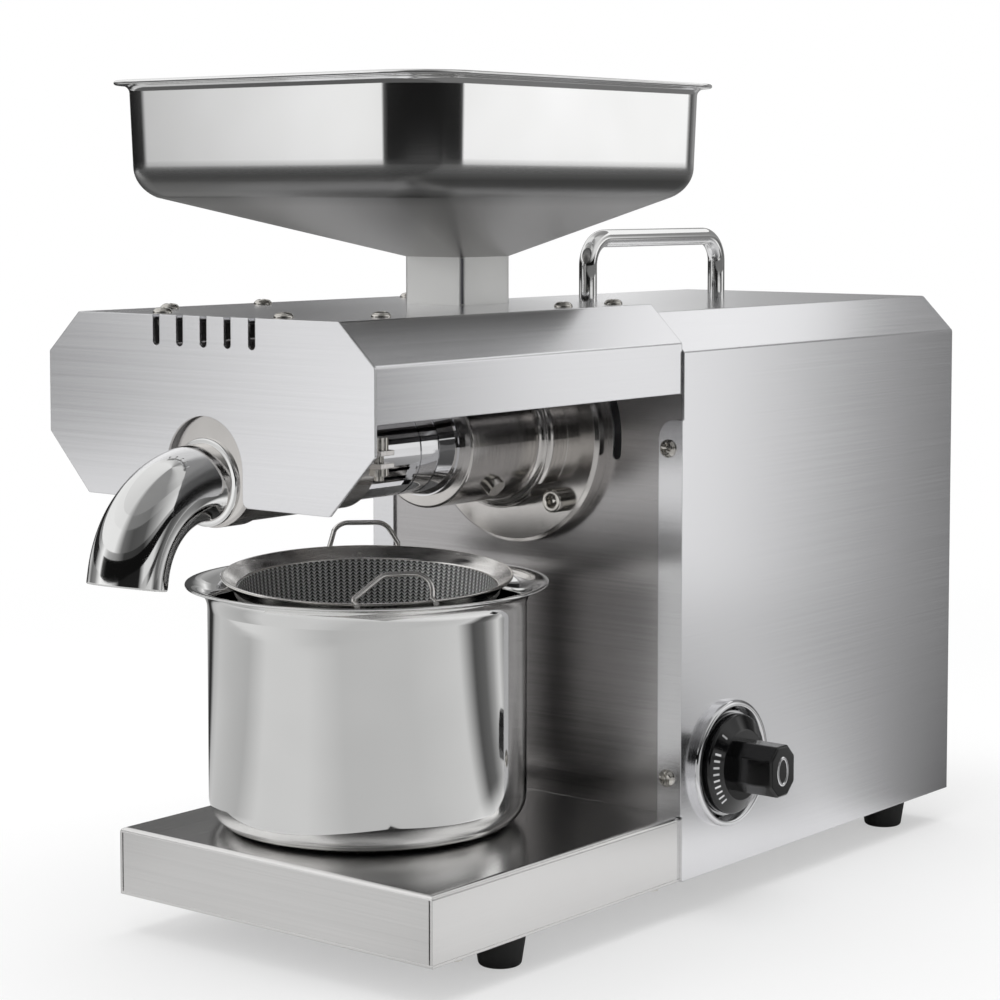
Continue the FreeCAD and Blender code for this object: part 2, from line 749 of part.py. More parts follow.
def carry_handle():
    front, rear = handle_leg_ys()
    top = HOUSING_TOP_Z + HANDLE_HEIGHT
    low = HOUSING_TOP_Z
    bend = HANDLE_BEND
    diagonal = bend * (1 - math.sqrt(0.5))
    path = Part.Wire([
        Part.LineSegment(V(0, front, low), V(0, front, top - bend)).toShape(),
        Part.Arc(
            V(0, front, top - bend),
            V(0, front + diagonal, top - diagonal),
            V(0, front + bend, top),
        ).toShape(),
        Part.LineSegment(V(0, front + bend, top), V(0, rear - bend, top)).toShape(),
        Part.Arc(
            V(0, rear - bend, top),
            V(0, rear - diagonal, top - diagonal),
            V(0, rear, top - bend),
        ).toShape(),
        Part.LineSegment(V(0, rear, top - bend), V(0, rear, low)).toShape(),
    ])
    section = Part.Wire([Part.makeCircle(HANDLE_ROD_R, V(0, front, low), AXIS_UP)])
    rod = path.makePipeShell([section], True, False)
    holes = [rod_z(M4_R, low, low + HANDLE_SCREW_DEPTH, 0, y) for y in (front, rear)]
    return cut_all(rod, holes)


def handle_screws():
    seat_z = HOUSING_TOP_Z - SHEET
    length = SHEET + HANDLE_SCREW_DEPTH - 1
    return [
        screw(V(0, y, seat_z), AXIS_UP, M4_HEAD_R, M4_HEAD_H, M4_R, length)
        for y in handle_leg_ys()
    ]


def head_roof_half():
    return HEAD_WIDTH / 2 - HEAD_CHAMFER


def head_screw_places():
    front_y = HEAD_FRONT_Y + HEAD_SCREW_FRONT_INSET
    places = [(side * HEAD_SCREW_FRONT_X, front_y) for side in (-1, 1)]
    places += [(side * RAIL_X, y) for side in (-1, 1) for y in HEAD_SCREW_RAIL_YS]
    places.append((-RAIL_X, HEAD_SCREW_LEFT_Y))
    places.append((RAIL_X, HEAD_SCREW_RIGHT_Y))
    return places


def face_outline(y):
    half = FACE_WIDTH / 2
    low = HEAD_TOP_Z - FACE_HEIGHT
    roof = head_roof_half()
    foot = half - FACE_FOOT_X
    return [
        V(-foot, y, low),
        V(foot, y, low),
        V(half, y, low + FACE_FOOT_Z),
        V(half, y, HEAD_TOP_Z - FACE_TOP_CHAMFER),
        V(roof, y, HEAD_TOP_Z),
        V(-roof, y, HEAD_TOP_Z),
        V(-half, y, HEAD_TOP_Z - FACE_TOP_CHAMFER),
        V(-half, y, low + FACE_FOOT_Z),
    ]


def face_plate():
    """The front plate: eight-sided, with a deep notch for the outlet."""
    y = HEAD_FRONT_Y
    plate = prism(face_outline(y), FACE_CORNER, V(0, SHEET, 0))
    low = HEAD_TOP_Z - FACE_HEIGHT
    r = NOTCH_CORNER
    notch = box(-NOTCH_R, NOTCH_R, y, y + SHEET, low, AXIS_Z)
    notch = notch.fuse(rod_y(NOTCH_R, y, y + SHEET))
    for side in (-1, 1):
        x0 = side * NOTCH_R
        x1 = side * (NOTCH_R + r)
        corner = box(min(x0, x1), max(x0, x1), y, y + SHEET, low, low + r)
        notch = notch.fuse(corner.cut(rod_y(r, y, y + SHEET, x1, low + r)))
    return plate.cut(notch)


def head_cover():
    half = HEAD_WIDTH / 2
    y0 = HEAD_FRONT_Y + SHEET
    hood = folded_hood(half, HEAD_BOTTOM_Z, HEAD_TOP_Z, HEAD_CHAMFER, y0, HEAD_REAR_Y)
    cover = hood.fuse(face_plate()).removeSplitter()
    cuts = []
    for i in range(SLOT_COUNT):
        x = (i - (SLOT_COUNT - 1) / 2) * SLOT_PITCH
        low = HEAD_TOP_Z - SLOT_LENGTH
        high = HEAD_TOP_Z + SLOT_WIDTH
        cuts.append(straight_slot(x, low, high, SLOT_WIDTH, HEAD_FRONT_Y, HEAD_FRONT_Y + SLOT_WRAP))
    for x, y in head_screw_places():
        cuts.append(rod_z(M4_R + HOLE_PLAY, HEAD_TOP_Z - SHEET, HEAD_TOP_Z, x, y))
    half_hole = NECK_WIDTH / 2 + NECK_PLAY
    hole = rounded_rectangle(0, NECK_Y, half_hole, half_hole, NECK_CORNER, HEAD_TOP_Z - 2 * SHEET)
    cuts.append(Part.Face(hole).extrude(AXIS_UP * (3 * SHEET)))
    return cut_all(cover, cuts)


def head_frame():
    """Two angle rails and a front bar under the roof, with tabs against the front panel."""
    roof_z = HEAD_TOP_Z - SHEET
    low = roof_z - SHEET
    front = HEAD_FRONT_Y + SLOT_WRAP + 1
    parts = []
    for side in (-1, 1):
        edges = (side * (RAIL_X - RAIL_WIDTH / 2), side * (RAIL_X + RAIL_WIDTH / 2))
        x0, x1 = sorted(edges)
        web_x0 = x1 - SHEET if side > 0 else x0
        foot_z = roof_z - RAIL_DEPTH
        parts.append(box(x0, x1, front, PANEL_Y, low, roof_z))
        parts.append(box(web_x0, web_x0 + SHEET, front, PANEL_Y, foot_z, roof_z))
        parts.append(box(x0, x1, PANEL_Y - SHEET, PANEL_Y, foot_z, roof_z))
    bar_y = HEAD_FRONT_Y + HEAD_SCREW_FRONT_INSET
    parts.append(box(-RAIL_X, RAIL_X, front, bar_y + RAIL_WIDTH / 2, low, roof_z))
    frame = parts[0].multiFuse(parts[1:]).removeSplitter()
    holes = [rod_z(M4_R, low, roof_z, x, y) for x, y in head_screw_places()]
    return cut_all(frame, holes)


def head_cover_screws():
    down = AXIS_UP * -1
    seats = [V(x, y, HEAD_TOP_Z) for x, y in head_screw_places()]
    return [screw(seat, down, M4_HEAD_R, M4_HEAD_H, M4_R, 4 * SHEET) for seat in seats]


def barrel_holder():
    c = FLANGE_CHAMFER
    profile = [
        (SEAL_R, PANEL_Y),
        (FLANGE_R, PANEL_Y),
        (FLANGE_R, FLANGE_Y + c),
        (FLANGE_R - c, FLANGE_Y),
        (BOSS_R, FLANGE_Y),
        (BOSS_R, FLANGE_Y - BOSS_LENGTH),
        (HUB_R, FLANGE_Y - BOSS_LENGTH),
        (HUB_R, HUB_Y),
        (BARREL_TAIL_R + RUN_FIT, HUB_Y),
        (BARREL_TAIL_R + RUN_FIT, HOLDER_BORE_Y),
        (SEAL_R, HOLDER_BORE_Y),
    ]
    holder = revolve_y(profile, [0, 0, 0, 0, 0, 3, 3, 1, 0, 0, 0])
    cuts = []
    for x, z in flange_bolt_places():
        cuts.append(rod_y(SPOT_R, FLANGE_Y - BOSS_LENGTH - 1, FLANGE_Y, x, z))
        cuts.append(rod_y(M6_R + HOLE_PLAY, FLANGE_Y, PANEL_Y, x, z))
    half = FEED_PORT / 2
    cuts.append(box(-half, half, NECK_Y - half, NECK_Y + half, AXIS_Z, AXIS_Z + HUB_R))
    cuts.append(lock_bolt_rod(M6_R, BARREL_TAIL_R - 1, HUB_R + 1))
    return cut_all(holder, cuts)


def lock_bolt_rod(r, start, end):
    rod = rod_x(r, start, end, LOCK_BOLT_Y, AXIS_Z)
    return turned_y(rod, LOCK_BOLT_ANGLE)


def barrel_lock_bolt():
    seat = HUB_R - LOCK_HEAD_SINK
    shank = lock_bolt_rod(M6_R, BARREL_TAIL_R + SAFE_GAP, HUB_R + 1)
    head = lock_bolt_rod(LOCK_HEAD_R, seat, seat + LOCK_HEAD_H)
    collar = revolve_y([(HUB_R, HUB_Y), (HUB_R, FLANGE_Y), (0, FLANGE_Y), (0, HUB_Y)])
    return shank.fuse(head.cut(collar)).removeSplitter()


def flange_bolt(x, z):
    bolt = screw(V(x, FLANGE_Y, z), AXIS_Y, M6_HEAD_R, M6_HEAD_H, M6_R, flange_bolt_length())
    socket = hexagon(M6_KEY, x, z, FLANGE_Y - M6_HEAD_H, M6_KEY_DEPTH)
    return bolt.cut(socket)


def flange_bolt_length():
    return FLANGE_THICK + SHEET + GEARBOX_WALL - SAFE_GAP


def hexagon(across_flats, x, z, y0, length):
    r = across_flats / math.sqrt(3)
    points = []
    for i in range(6):
        angle = math.radians(60 * i)
        points.append(V(x + r * math.cos(angle), y0, z + r * math.sin(angle)))
    return prism(points, 0, V(0, length, 0))


def shaft_seal():
    return tube_y(SEAL_R, OUTPUT_R + RUN_FIT, HOLDER_BORE_Y + 1, PANEL_Y)


def press_barrel():
    flare_y = BARREL_RING_Y - BARREL_FLARE
    band_y = flare_y - BARREL_BAND
    die_y = BARREL_FRONT_Y + DIE_LENGTH
    profile = [
        (BARREL_BORE_R, BARREL_REAR_Y),
        (BARREL_TAIL_R, BARREL_REAR_Y),
        (BARREL_TAIL_R, HUB_Y),
        (BARREL_RING_R, HUB_Y),
        (BARREL_RING_R, BARREL_RING_Y),
        (BARREL_RING_R - GROOVE, BARREL_RING_Y),
        (BARREL_R, flare_y),
        (BARREL_R - GROOVE, flare_y),
        (BARREL_R - GROOVE, flare_y - GROOVE_WIDTH),
        (BARREL_R, flare_y - GROOVE_WIDTH),
        (BARREL_R, band_y),
        (BARREL_R - GROOVE, band_y),
        (BARREL_R - GROOVE, band_y - GROOVE_WIDTH),
        (BARREL_R, band_y - GROOVE_WIDTH),
        (BARREL_R, BARREL_SHOULDER_Y),
        (BARREL_NECK_R - RUN_FIT, BARREL_SHOULDER_Y),
        (BARREL_NECK_R - RUN_FIT, BARREL_FRONT_Y),
        (DIE_R, BARREL_FRONT_Y),
        (DIE_R, die_y),
        (BARREL_BORE_R, die_y + DIE_CONE),
    ]
    barrel = revolve_y(profile)
    half = FEED_PORT / 2
    cuts = [box(-half, half, NECK_Y - half, NECK_Y + half, AXIS_Z, AXIS_Z + HUB_R)]
    y1 = HUB_Y - DRAIN_START
    y0 = y1 - DRAIN_LENGTH
    w = DRAIN_WIDTH / 2
    for angle in (-DRAIN_ANGLE, DRAIN_ANGLE - 180, -90):
        pocket = box(BARREL_R - DRAIN_DEPTH, HEATER_R + 1, y0, y1, AXIS_Z - w, AXIS_Z + w)
        cuts.append(turned_y(pocket, angle))
        for row in (-0.5, 0.5):
            z = AXIS_Z + row * SLIT_PITCH
            slit = box(BARREL_BORE_R - 2, BARREL_R, y0 + 2, y1 - 2, z - SLIT / 2, z + SLIT / 2)
            cuts.append(turned_y(slit, angle))
    return cut_all(barrel, cuts)


def screw_flight(outer_r, inner_r, y_front, y_rear):
    """One helical thread of trapezoid section, made along Z and turned onto the screw axis."""
    height = y_rear - y_front
    helix = Part.makeHelix(SCREW_PITCH, height, outer_r)
    tip = SCREW_FLIGHT / 2
    root = SCREW_FLIGHT * 0.8
    section = Part.makePolygon([
        V(inner_r, 0, -root),
        V(outer_r, 0, -tip),
        V(outer_r, 0, tip),
        V(inner_r, 0, root),
        V(inner_r, 0, -root),
    ])
    flight = Part.Wire(helix).makePipeShell([section], True, True)
    flight.rotate(V(0, 0, 0), AXIS_X, -90)
    flight.translate(V(0, y_front, AXIS_Z))
    return flight


def press_screw():
    outer = BARREL_BORE_R - SCREW_PLAY
    rear = BARREL_REAR_Y - SAFE_GAP
    flight_front = SCREW_TIP_Y + SCREW_FLIGHT + 2 * SAFE_GAP
    cone = flight_front + SCREW_FLIGHT
    profile = [
        (0, rear),
        (outer, rear),
        (outer, rear - SCREW_COLLAR),
        (SCREW_ROOT_REAR, rear - SCREW_COLLAR),
        (SCREW_ROOT_REAR, HUB_Y),
        (SCREW_ROOT_FRONT, cone),
        (SCREW_ROOT_FRONT, flight_front - SCREW_FLIGHT / 2),
        (SCREW_TIP_R, SCREW_TIP_Y),
        (0, SCREW_TIP_Y),
    ]
    root = revolve_y(profile)
    turn_front = flight_front + SCREW_FLIGHT / 2
    flight = screw_flight(outer, SCREW_ROOT_REAR - 2, turn_front, rear - SCREW_COLLAR / 2)
    flight = flight.common(rod_y(outer, flight_front - SCREW_FLIGHT / 2, rear - 1))
    hexagonal = hexagon(HEX_AF - 2 * HEX_PLAY, 0, AXIS_Z, rear, HEX_LENGTH)
    return root.fuse(flight).fuse(hexagonal).removeSplitter()


def heater_ys():
    return (BARREL_SHOULDER_Y + SAFE_GAP, BARREL_SHOULDER_Y + SAFE_GAP + HEATER_LENGTH)


def heater_ear_x():
    return HEATER_R + HEATER_EAR / 2


def heater_band():
    y0, y1 = heater_ys()
    band = tube_y(HEATER_R, BARREL_R + RUN_FIT, y0, y1)
    half = HEATER_SPLIT / 2
    end_x = HEATER_R + HEATER_EAR
    reach = half + HEATER_EAR_THICK
    ears = box(BARREL_R + 1, end_x, y1 - HEATER_EAR_WIDTH, y1, AXIS_Z - reach, AXIS_Z + reach)
    clamp = band.fuse(ears)
    split = box(0, end_x, y0, y1, AXIS_Z - half, AXIS_Z + half)
    bolt_y = y1 - HEATER_EAR_WIDTH / 2
    hole = rod_z(M4_R + HOLE_PLAY, AXIS_Z - reach, AXIS_Z + reach, heater_ear_x(), bolt_y)
    return clamp.cut(split).cut(hole).removeSplitter()


def heater_clamp_bolt():
    y1 = heater_ys()[1]
    y = y1 - HEATER_EAR_WIDTH / 2
    x = heater_ear_x()
    reach = HEATER_SPLIT / 2 + HEATER_EAR_THICK
    top = AXIS_Z + reach
    low = AXIS_Z - reach
    head = rod_z(M4_HEAD_R, top, top + CLAMP_HEAD, x, y)
    shank = rod_z(M4_R, low - CLAMP_HEAD, top, x, y)
    nut = rod_z(M4_HEAD_R, low - CLAMP_NUT, low, x, y)
    return shank.multiFuse([head, nut]).removeSplitter()


def heater_terminals():
    y0 = heater_ys()[0]
    posts = []
    top = AXIS_Z + HEATER_R + POST_HEIGHT
    for i in (1, 2):
        y = y0 + i * POST_PITCH
        post = rod_z(POST_R, AXIS_Z, top, 0, y)
        stud = rod_z(POST_R / 2, top, top + POST_STUD, 0, y)
        band = rod_y(HEATER_R, y - POST_R, y + POST_R)
        posts.append(post.fuse(stud).cut(band).removeSplitter())
    return posts


def outlet_collar():
    """The ring on the barrel's end; its front bore for the elbow lies below the screw axis."""
    lip_y = COLLAR_Y + COLLAR_LIP
    profile = [(0, COLLAR_Y), (COLLAR_R, COLLAR_Y), (COLLAR_R, BARREL_SHOULDER_Y), (0, BARREL_SHOULDER_Y)]
    ring = revolve_y(profile, [0, 1.2, 0, 0])
    barrel_seat = rod_y(BARREL_NECK_R, BARREL_FRONT_Y, BARREL_SHOULDER_Y)
    flange_r = ELBOW_R + ELBOW_FLANGE + SAFE_GAP
    flange_room = rod_y(flange_r, lip_y, BARREL_FRONT_Y, z=OUTLET_Z)
    front_bore = rod_y(ELBOW_R + RUN_FIT, COLLAR_Y, lip_y, z=OUTLET_Z)
    return cut_all(ring, [barrel_seat, flange_room, front_bore])


def outlet_elbow():
    """A thin tube with a root ring, a bend and a short tail that points down and forward."""
    inner = ELBOW_R - ELBOW_WALL
    ring_y = COLLAR_Y - SAFE_GAP
    flange_r = ELBOW_R + ELBOW_FLANGE
    flange_y1 = BARREL_FRONT_Y - SAFE_GAP
    flange_y0 = COLLAR_Y + COLLAR_LIP + SAFE_GAP
    profile = [
        (inner, ELBOW_BEND_Y),
        (ELBOW_R, ELBOW_BEND_Y),
        (ELBOW_R, ring_y - ELBOW_RING_WIDTH),
        (ELBOW_RING_R, ring_y - ELBOW_RING_WIDTH),
        (ELBOW_RING_R, ring_y),
        (ELBOW_R, ring_y),
        (ELBOW_R, flange_y0),
        (flange_r, flange_y0),
        (flange_r, flange_y1),
        (inner, flange_y1),
    ]
    root = revolve_y(profile, z=OUTLET_Z)
    start = V(0, ELBOW_BEND_Y, OUTLET_Z)
    outer_disc = Part.Face(Part.Wire([Part.makeCircle(ELBOW_R, start, AXIS_Y)]))
    inner_disc = Part.Face(Part.Wire([Part.makeCircle(inner, start, AXIS_Y)]))
    section = outer_disc.cut(inner_disc)
    pivot = V(0, ELBOW_BEND_Y, OUTLET_Z - ELBOW_BEND)
    bend = section.revolve(pivot, AXIS_X, ELBOW_SWEEP)
    tail = section.extrude(AXIS_Y * -ELBOW_TAIL)
    tail.rotate(pivot, AXIS_X, ELBOW_SWEEP)
    return root.multiFuse([bend, tail]).removeSplitter()


def chute_sizes():
    inner = NECK_WIDTH / 2 + NECK_PLAY
    return inner, inner + CHUTE_WALL


def feed_chute():
    """The square socket on the holder that takes the hopper neck, with a ledge below it."""
    inner, outer = chute_sizes()
    top = HEAD_TOP_Z - SHEET - CHUTE_ROOF_GAP
    wire = rounded_rectangle(0, NECK_Y, outer, outer, CHUTE_WALL, AXIS_Z)
    body = Part.Face(wire).extrude(AXIS_UP * (top - AXIS_Z))
    wire = rounded_rectangle(0, NECK_Y, inner, inner, NECK_CORNER, NECK_BOTTOM_Z)
    socket = Part.Face(wire).extrude(AXIS_UP * (top - NECK_BOTTOM_Z))
    half = FEED_PORT / 2
    throat = box(-half, half, NECK_Y - half, NECK_Y + half, AXIS_Z, NECK_BOTTOM_Z)
    boss = rod_y(BOSS_R, FLANGE_Y - BOSS_LENGTH, FLANGE_Y)
    return cut_all(body, [socket, throat, rod_y(HUB_R, HUB_Y, FLANGE_Y), boss])


def hopper_section(inset, z):
    half_x = HOPPER_WIDTH / 2 - inset
    half_y = HOPPER_LENGTH / 2 - inset
    r = HOPPER_CORNER - inset / 2
    return rounded_rectangle(0, HOPPER_CENTRE_Y, half_x, half_y, r, z)


def hopper_shape(depth, top_z):
    """The bowl's outer form, or its hollow when depth is the wall."""
    sections = [hopper_section(depth, top_z)]
    r = HOPPER_KNEE_R - depth
    steps = 4
    for i in range(steps + 1):
        a = math.radians(HOPPER_KNEE_ANGLE * i / steps)
        inset = HOPPER_DRAFT + HOPPER_KNEE_R - r * math.cos(a)
        sections.append(hopper_section(inset, HOPPER_KNEE_Z - r * math.sin(a)))
    half = NECK_WIDTH / 2 - depth
    sections.append(rounded_rectangle(0, NECK_Y, half, half, NECK_CORNER, NECK_TOP_Z + depth))
    return Part.makeLoft(sections, True, True)


def hopper():
    rim_low = HOPPER_TOP_Z - HOPPER_RIM_THICK
    outer = hopper_shape(0, rim_low)
    rim_wire = hopper_section(-HOPPER_RIM, rim_low)
    rim = Part.Face(rim_wire).extrude(AXIS_UP * HOPPER_RIM_THICK)
    edge = [e for e in rim.Edges if e.BoundBox.ZLength < 0.01]
    rim = rim.makeFillet(HOPPER_RIM_THICK * 0.45, edge)
    cove_ends = [hopper_section(0, rim_low - HOPPER_COVE), hopper_section(-HOPPER_COVE, rim_low)]
    cove = Part.makeLoft(cove_ends, True, True)
    hollow = hopper_shape(HOPPER_WALL, HOPPER_TOP_Z + 1)
    half = NECK_WIDTH / 2 - HOPPER_WALL
    drop = Part.Face(rounded_rectangle(0, NECK_Y, half, half, NECK_CORNER, NECK_TOP_Z - 1))
    drop = drop.extrude(AXIS_UP * (HOPPER_WALL + 2))
    return outer.multiFuse([rim, cove]).cut(hollow).cut(drop).removeSplitter()


def hopper_neck():
    half = NECK_WIDTH / 2
    outer = Part.Face(rounded_rectangle(0, NECK_Y, half, half, NECK_CORNER, NECK_BOTTOM_Z))
    half = half - HOPPER_WALL
    inner = Part.Face(rounded_rectangle(0, NECK_Y, half, half, NECK_CORNER / 2, NECK_BOTTOM_Z))
    rise = AXIS_UP * NECK_DEPTH
    return outer.extrude(rise).cut(inner.extrude(rise))


def oil_pot():
    flare = POT_RIM_R - POT_R
    top = POT_TOP_Z
    z0 = TRAY_TOP_Z
    t = POT_WALL
    points = [
        (0, z0),
        (POT_R, z0),
        (POT_R, top - t),
        (POT_RIM_R, top - t),
        (POT_RIM_R, top),
        (POT_R - t, top),
        (POT_R - t, z0 + t),
        (0, z0 + t),
    ]
    radii = [0, POT_CORNER, flare * 0.98, 0, 0, flare * 0.98 + t, POT_CORNER - t, 0]
    return revolve_z(points, radii, POT_X, POT_Y)


def strainer_centre_z():
    return POT_TOP_Z + STRAINER_RISE


def placed_strainer(shape):
    """Lean the strainer as it lies in the pot, then turn its loops to their side."""
    shape = shape.copy()
    shape.rotate(V(0, 0, 0), AXIS_X, STRAINER_TILT)
    shape.rotate(V(0, 0, 0), AXIS_UP, STRAINER_TURN)
    shape.translate(V(POT_X, POT_Y, strainer_centre_z()))
    return shape


def mesh_top_r():
    return STRAINER_R - STRAINER_COLLAR


def strainer_frame():
    """A dished collar with a lip that holds the mesh."""
    t = STRAINER_WALL
    inner = mesh_top_r()
    low = -STRAINER_DISH
    points = [
        (inner, low),
        (inner, low - STRAINER_LIP),
        (inner + t, low - STRAINER_LIP),
        (inner + t, low - t),
        (STRAINER_R, -t),
        (STRAINER_R, 0),
        (STRAINER_R - t, 0),
    ]
    return placed_strainer(revolve_z(points, 0, 0, 0))


def strainer_mesh():
    """The basket: a tapered bowl with a round bottom edge."""
    top = -STRAINER_DISH - 0.5
    r1 = mesh_top_r() - RUN_FIT
    r0 = r1 - MESH_TAPER
    z0 = top - MESH_DEPTH
    t = MESH_WALL
    points = [(0, z0), (r0, z0), (r1, top), (r1 - t, top), (r0 - t, z0 + t), (0, z0 + t)]
    radii = [0, MESH_CORNER, 0, 0, MESH_CORNER - t, 0]
    return placed_strainer(revolve_z(points, radii, 0, 0))


def bent_wire(points):
    """A round wire along the points, with a ball at each inner corner."""
    pieces = []
    for start, end in zip(points, points[1:]):
        run = end - start
        pieces.append(Part.makeCylinder(WIRE_R, run.Length, start, run))
    for corner in points[1:-1]:
        pieces.append(Part.makeSphere(WIRE_R, corner))
    return pieces[0].multiFuse(pieces[1:]).removeSplitter()


def loop_points(side):
    """One lifting loop in the strainer's own frame: its feet reach out over the pot's flare."""
    half = LOOP_WIDTH / 2
    y = side * math.sqrt((STRAINER_R + WIRE_R + RUN_FIT) ** 2 - half * half)
    out = y + side * LOOP_FOOT
    flare = POT_RIM_R - POT_R + POT_WALL
    reach = POT_RIM_R - math.hypot(out, half)
    flare_z = POT_TOP_Z - flare + math.sqrt(flare * flare - reach * reach)
    lift = out * math.sin(math.radians(STRAINER_TILT))
    foot_z = flare_z + WIRE_R + 2 * SAFE_GAP - strainer_centre_z() - lift
    shift = LOOP_SHIFT if side < 0 else 0
    lean = LOOP_LEAN if side < 0 else 0
    top = LOOP_TOP / 2
    return [
        V(-half, out, foot_z),
        V(-half, y, foot_z),
        V(-half, y, LOOP_KINK),
        V(-top + shift, y + lean, LOOP_HEIGHT),
        V(top + shift, y + lean, LOOP_HEIGHT),
        V(half, y, LOOP_KINK),
        V(half, y, foot_z),
        V(half, out, foot_z),
    ]


def strainer_handles():
    """Two lifting loops; the front one stands a little further round the rim."""
    front = bent_wire(loop_points(-1))
    front.rotate(V(0, 0, 0), AXIS_UP, LOOP_TURN)
    return [placed_strainer(front), placed_strainer(bent_wire(loop_points(1)))]


def knob_bezel():
    x0 = BODY_WIDTH / 2
    x1 = x0 + BEZEL_HEIGHT
    profile = [
        (x0, STEM_R + 1),
        (x0, BEZEL_R),
        (x1 - 1, BEZEL_R),
        (x1, BEZEL_R - 1),
        (x1, BEZEL_R - 1 - BEZEL_LIP),
        (x0 + BEZEL_SEAT, DIAL_R + 1),
        (x0 + BEZEL_SEAT, STEM_R + 1),
    ]
    return revolve_x(profile, 0, DIAL_Y, DIAL_Z)


def dial_knob():
    """A skirted dial with an eight-sided grip that stands out from it."""
    x0 = BODY_WIDTH / 2 + BEZEL_SEAT + SAFE_GAP
    x1 = x0 + DIAL_SKIRT
    x2 = x1 + DIAL_CONE
    profile = [(x0, 0), (x0, DIAL_R), (x1, DIAL_R), (x2, DIAL_NECK_R), (x2, 0)]
    skirt = revolve_x(profile, 0, DIAL_Y, DIAL_Z)
    w = GRIP_WIDTH / 2
    h = GRIP_HEIGHT / 2
    c = GRIP_CHAMFER
    right = [(w - c, -h), (w, c - h), (w, h - c), (w - c, h)]
    corners = right + [(-a, -b) for a, b in right]
    end = BODY_WIDTH / 2 + GRIP_END
    points = [V(x1, DIAL_Y + a, DIAL_Z + b) for a, b in corners]
    grip = prism(points, GRIP_CORNER, V(end - x1, 0, 0))
    rim = [e for e in grip.Edges if e.BoundBox.XMin > end - 0.01]
    grip = grip.makeFillet(GRIP_ROUND, rim)
    bore = rod_x(STEM_R, x0, x0 + STEM_DEPTH, DIAL_Y, DIAL_Z)
    return skirt.fuse(grip).removeSplitter().cut(bore)


def thermostat_stem():
    start = INNER_HALF - THERMOSTAT_LENGTH / 2
    end = BODY_WIDTH / 2 + BEZEL_SEAT + SAFE_GAP + STEM_DEPTH
    return rod_x(STEM_R, start, end, DIAL_Y, DIAL_Z)


def thermostat_body():
    body = rod_x(THERMOSTAT_R, INNER_HALF - THERMOSTAT_LENGTH, INNER_HALF, DIAL_Y, DIAL_Z)
    start = INNER_HALF - THERMOSTAT_LENGTH / 2 - SAFE_GAP
    body = body.cut(rod_x(STEM_R + RUN_FIT, start, INNER_HALF, DIAL_Y, DIAL_Z))
    length, width, thick = THERMOSTAT_TAB
    tab_x = INNER_HALF - THERMOSTAT_LENGTH
    tabs = []
    for side in (-1, 1):
        y = DIAL_Y + side * THERMOSTAT_TAB_PITCH / 2
        z = DIAL_Z - thick / 2
        tabs.append(box(tab_x - length, tab_x, y - width / 2, y + width / 2, z, z + thick))
    return body.multiFuse(tabs)


def gear(module, teeth, tooth_angle, addendum, flank_steps, z, y0, y1):
    """An involute spur gear about an axis along Y, one tooth centred on tooth_angle."""
    pitch_r = module * teeth / 2
    base_r = pitch_r * math.cos(PRESSURE_ANGLE)
    tip_r = pitch_r + addendum * module
    root_r = pitch_r - DEDENDUM * module
    half_pitch = (math.pi * module / 2 - BACKLASH / 2) / (2 * pitch_r)
    involute_p = math.tan(PRESSURE_ANGLE) - PRESSURE_ANGLE

    def half_angle(r):
        a = math.acos(min(1.0, base_r / r))
        return half_pitch + involute_p - (math.tan(a) - a)

    low = max(root_r, base_r)
    radii = [low + (tip_r - low) * i / flank_steps for i in range(flank_steps + 1)]
    if root_r < low - 0.01:
        radii.insert(0, root_r)
    points = []
    for tooth in range(teeth):
        centre = math.radians(tooth_angle + 360.0 * tooth / teeth)
        flank = [(r, half_angle(max(r, low))) for r in radii]
        for r, half in flank:
            points.append((r, centre - half))
        for r, half in reversed(flank):
            points.append((r, centre + half))
    corners = [V(r * math.cos(a), y0, z + r * math.sin(a)) for r, a in points]
    return Part.Face(Part.makePolygon(corners + corners[:1])).extrude(V(0, y1 - y0, 0))


def output_gear():
    wheel = gear(LOW_MODULE, LOW_WHEEL_TEETH, -90, WHEEL_ADDENDUM, 1, AXIS_Z, LOW_Y, LOW_Y + LOW_FACE)
    return wheel.cut(rod_y(OUTPUT_R, LOW_Y, LOW_Y + LOW_FACE))


def output_shaft():
    shaft = rod_y(OUTPUT_R, OUTPUT_FRONT_Y, GEARBOX_REAR_Y - SHAFT_END_GAP)
    rear = BARREL_REAR_Y - SAFE_GAP
    depth = rear + HEX_LENGTH + SAFE_GAP - OUTPUT_FRONT_Y
    return shaft.cut(hexagon(HEX_AF, 0, AXIS_Z, OUTPUT_FRONT_Y, depth))


def lay_gear():
    wheel = gear(HIGH_MODULE, HIGH_WHEEL_TEETH, -90, WHEEL_ADDENDUM, 1, LAY_Z, HIGH_Y, HIGH_Y + HIGH_FACE)
    return wheel.cut(rod_y(LAY_R, HIGH_Y, HIGH_Y + HIGH_FACE, 0, LAY_Z))


def lay_shaft():
    """The layshaft, with its small pinion cut in one piece."""
    shaft = rod_y(LAY_R, GEARBOX_Y + SHAFT_END_GAP, GEARBOX_REAR_Y - SHAFT_END_GAP, 0, LAY_Z)
    half_tooth = 180.0 / LOW_PINION_TEETH
    y0 = LOW_Y - PINION_EXTRA / 2
    y1 = LOW_Y + LOW_FACE + PINION_EXTRA / 2
    pinion = gear(LOW_MODULE, LOW_PINION_TEETH, 90 + half_tooth, PINION_ADDENDUM, 3, LAY_Z, y0, y1)
    return shaft.fuse(pinion).removeSplitter()


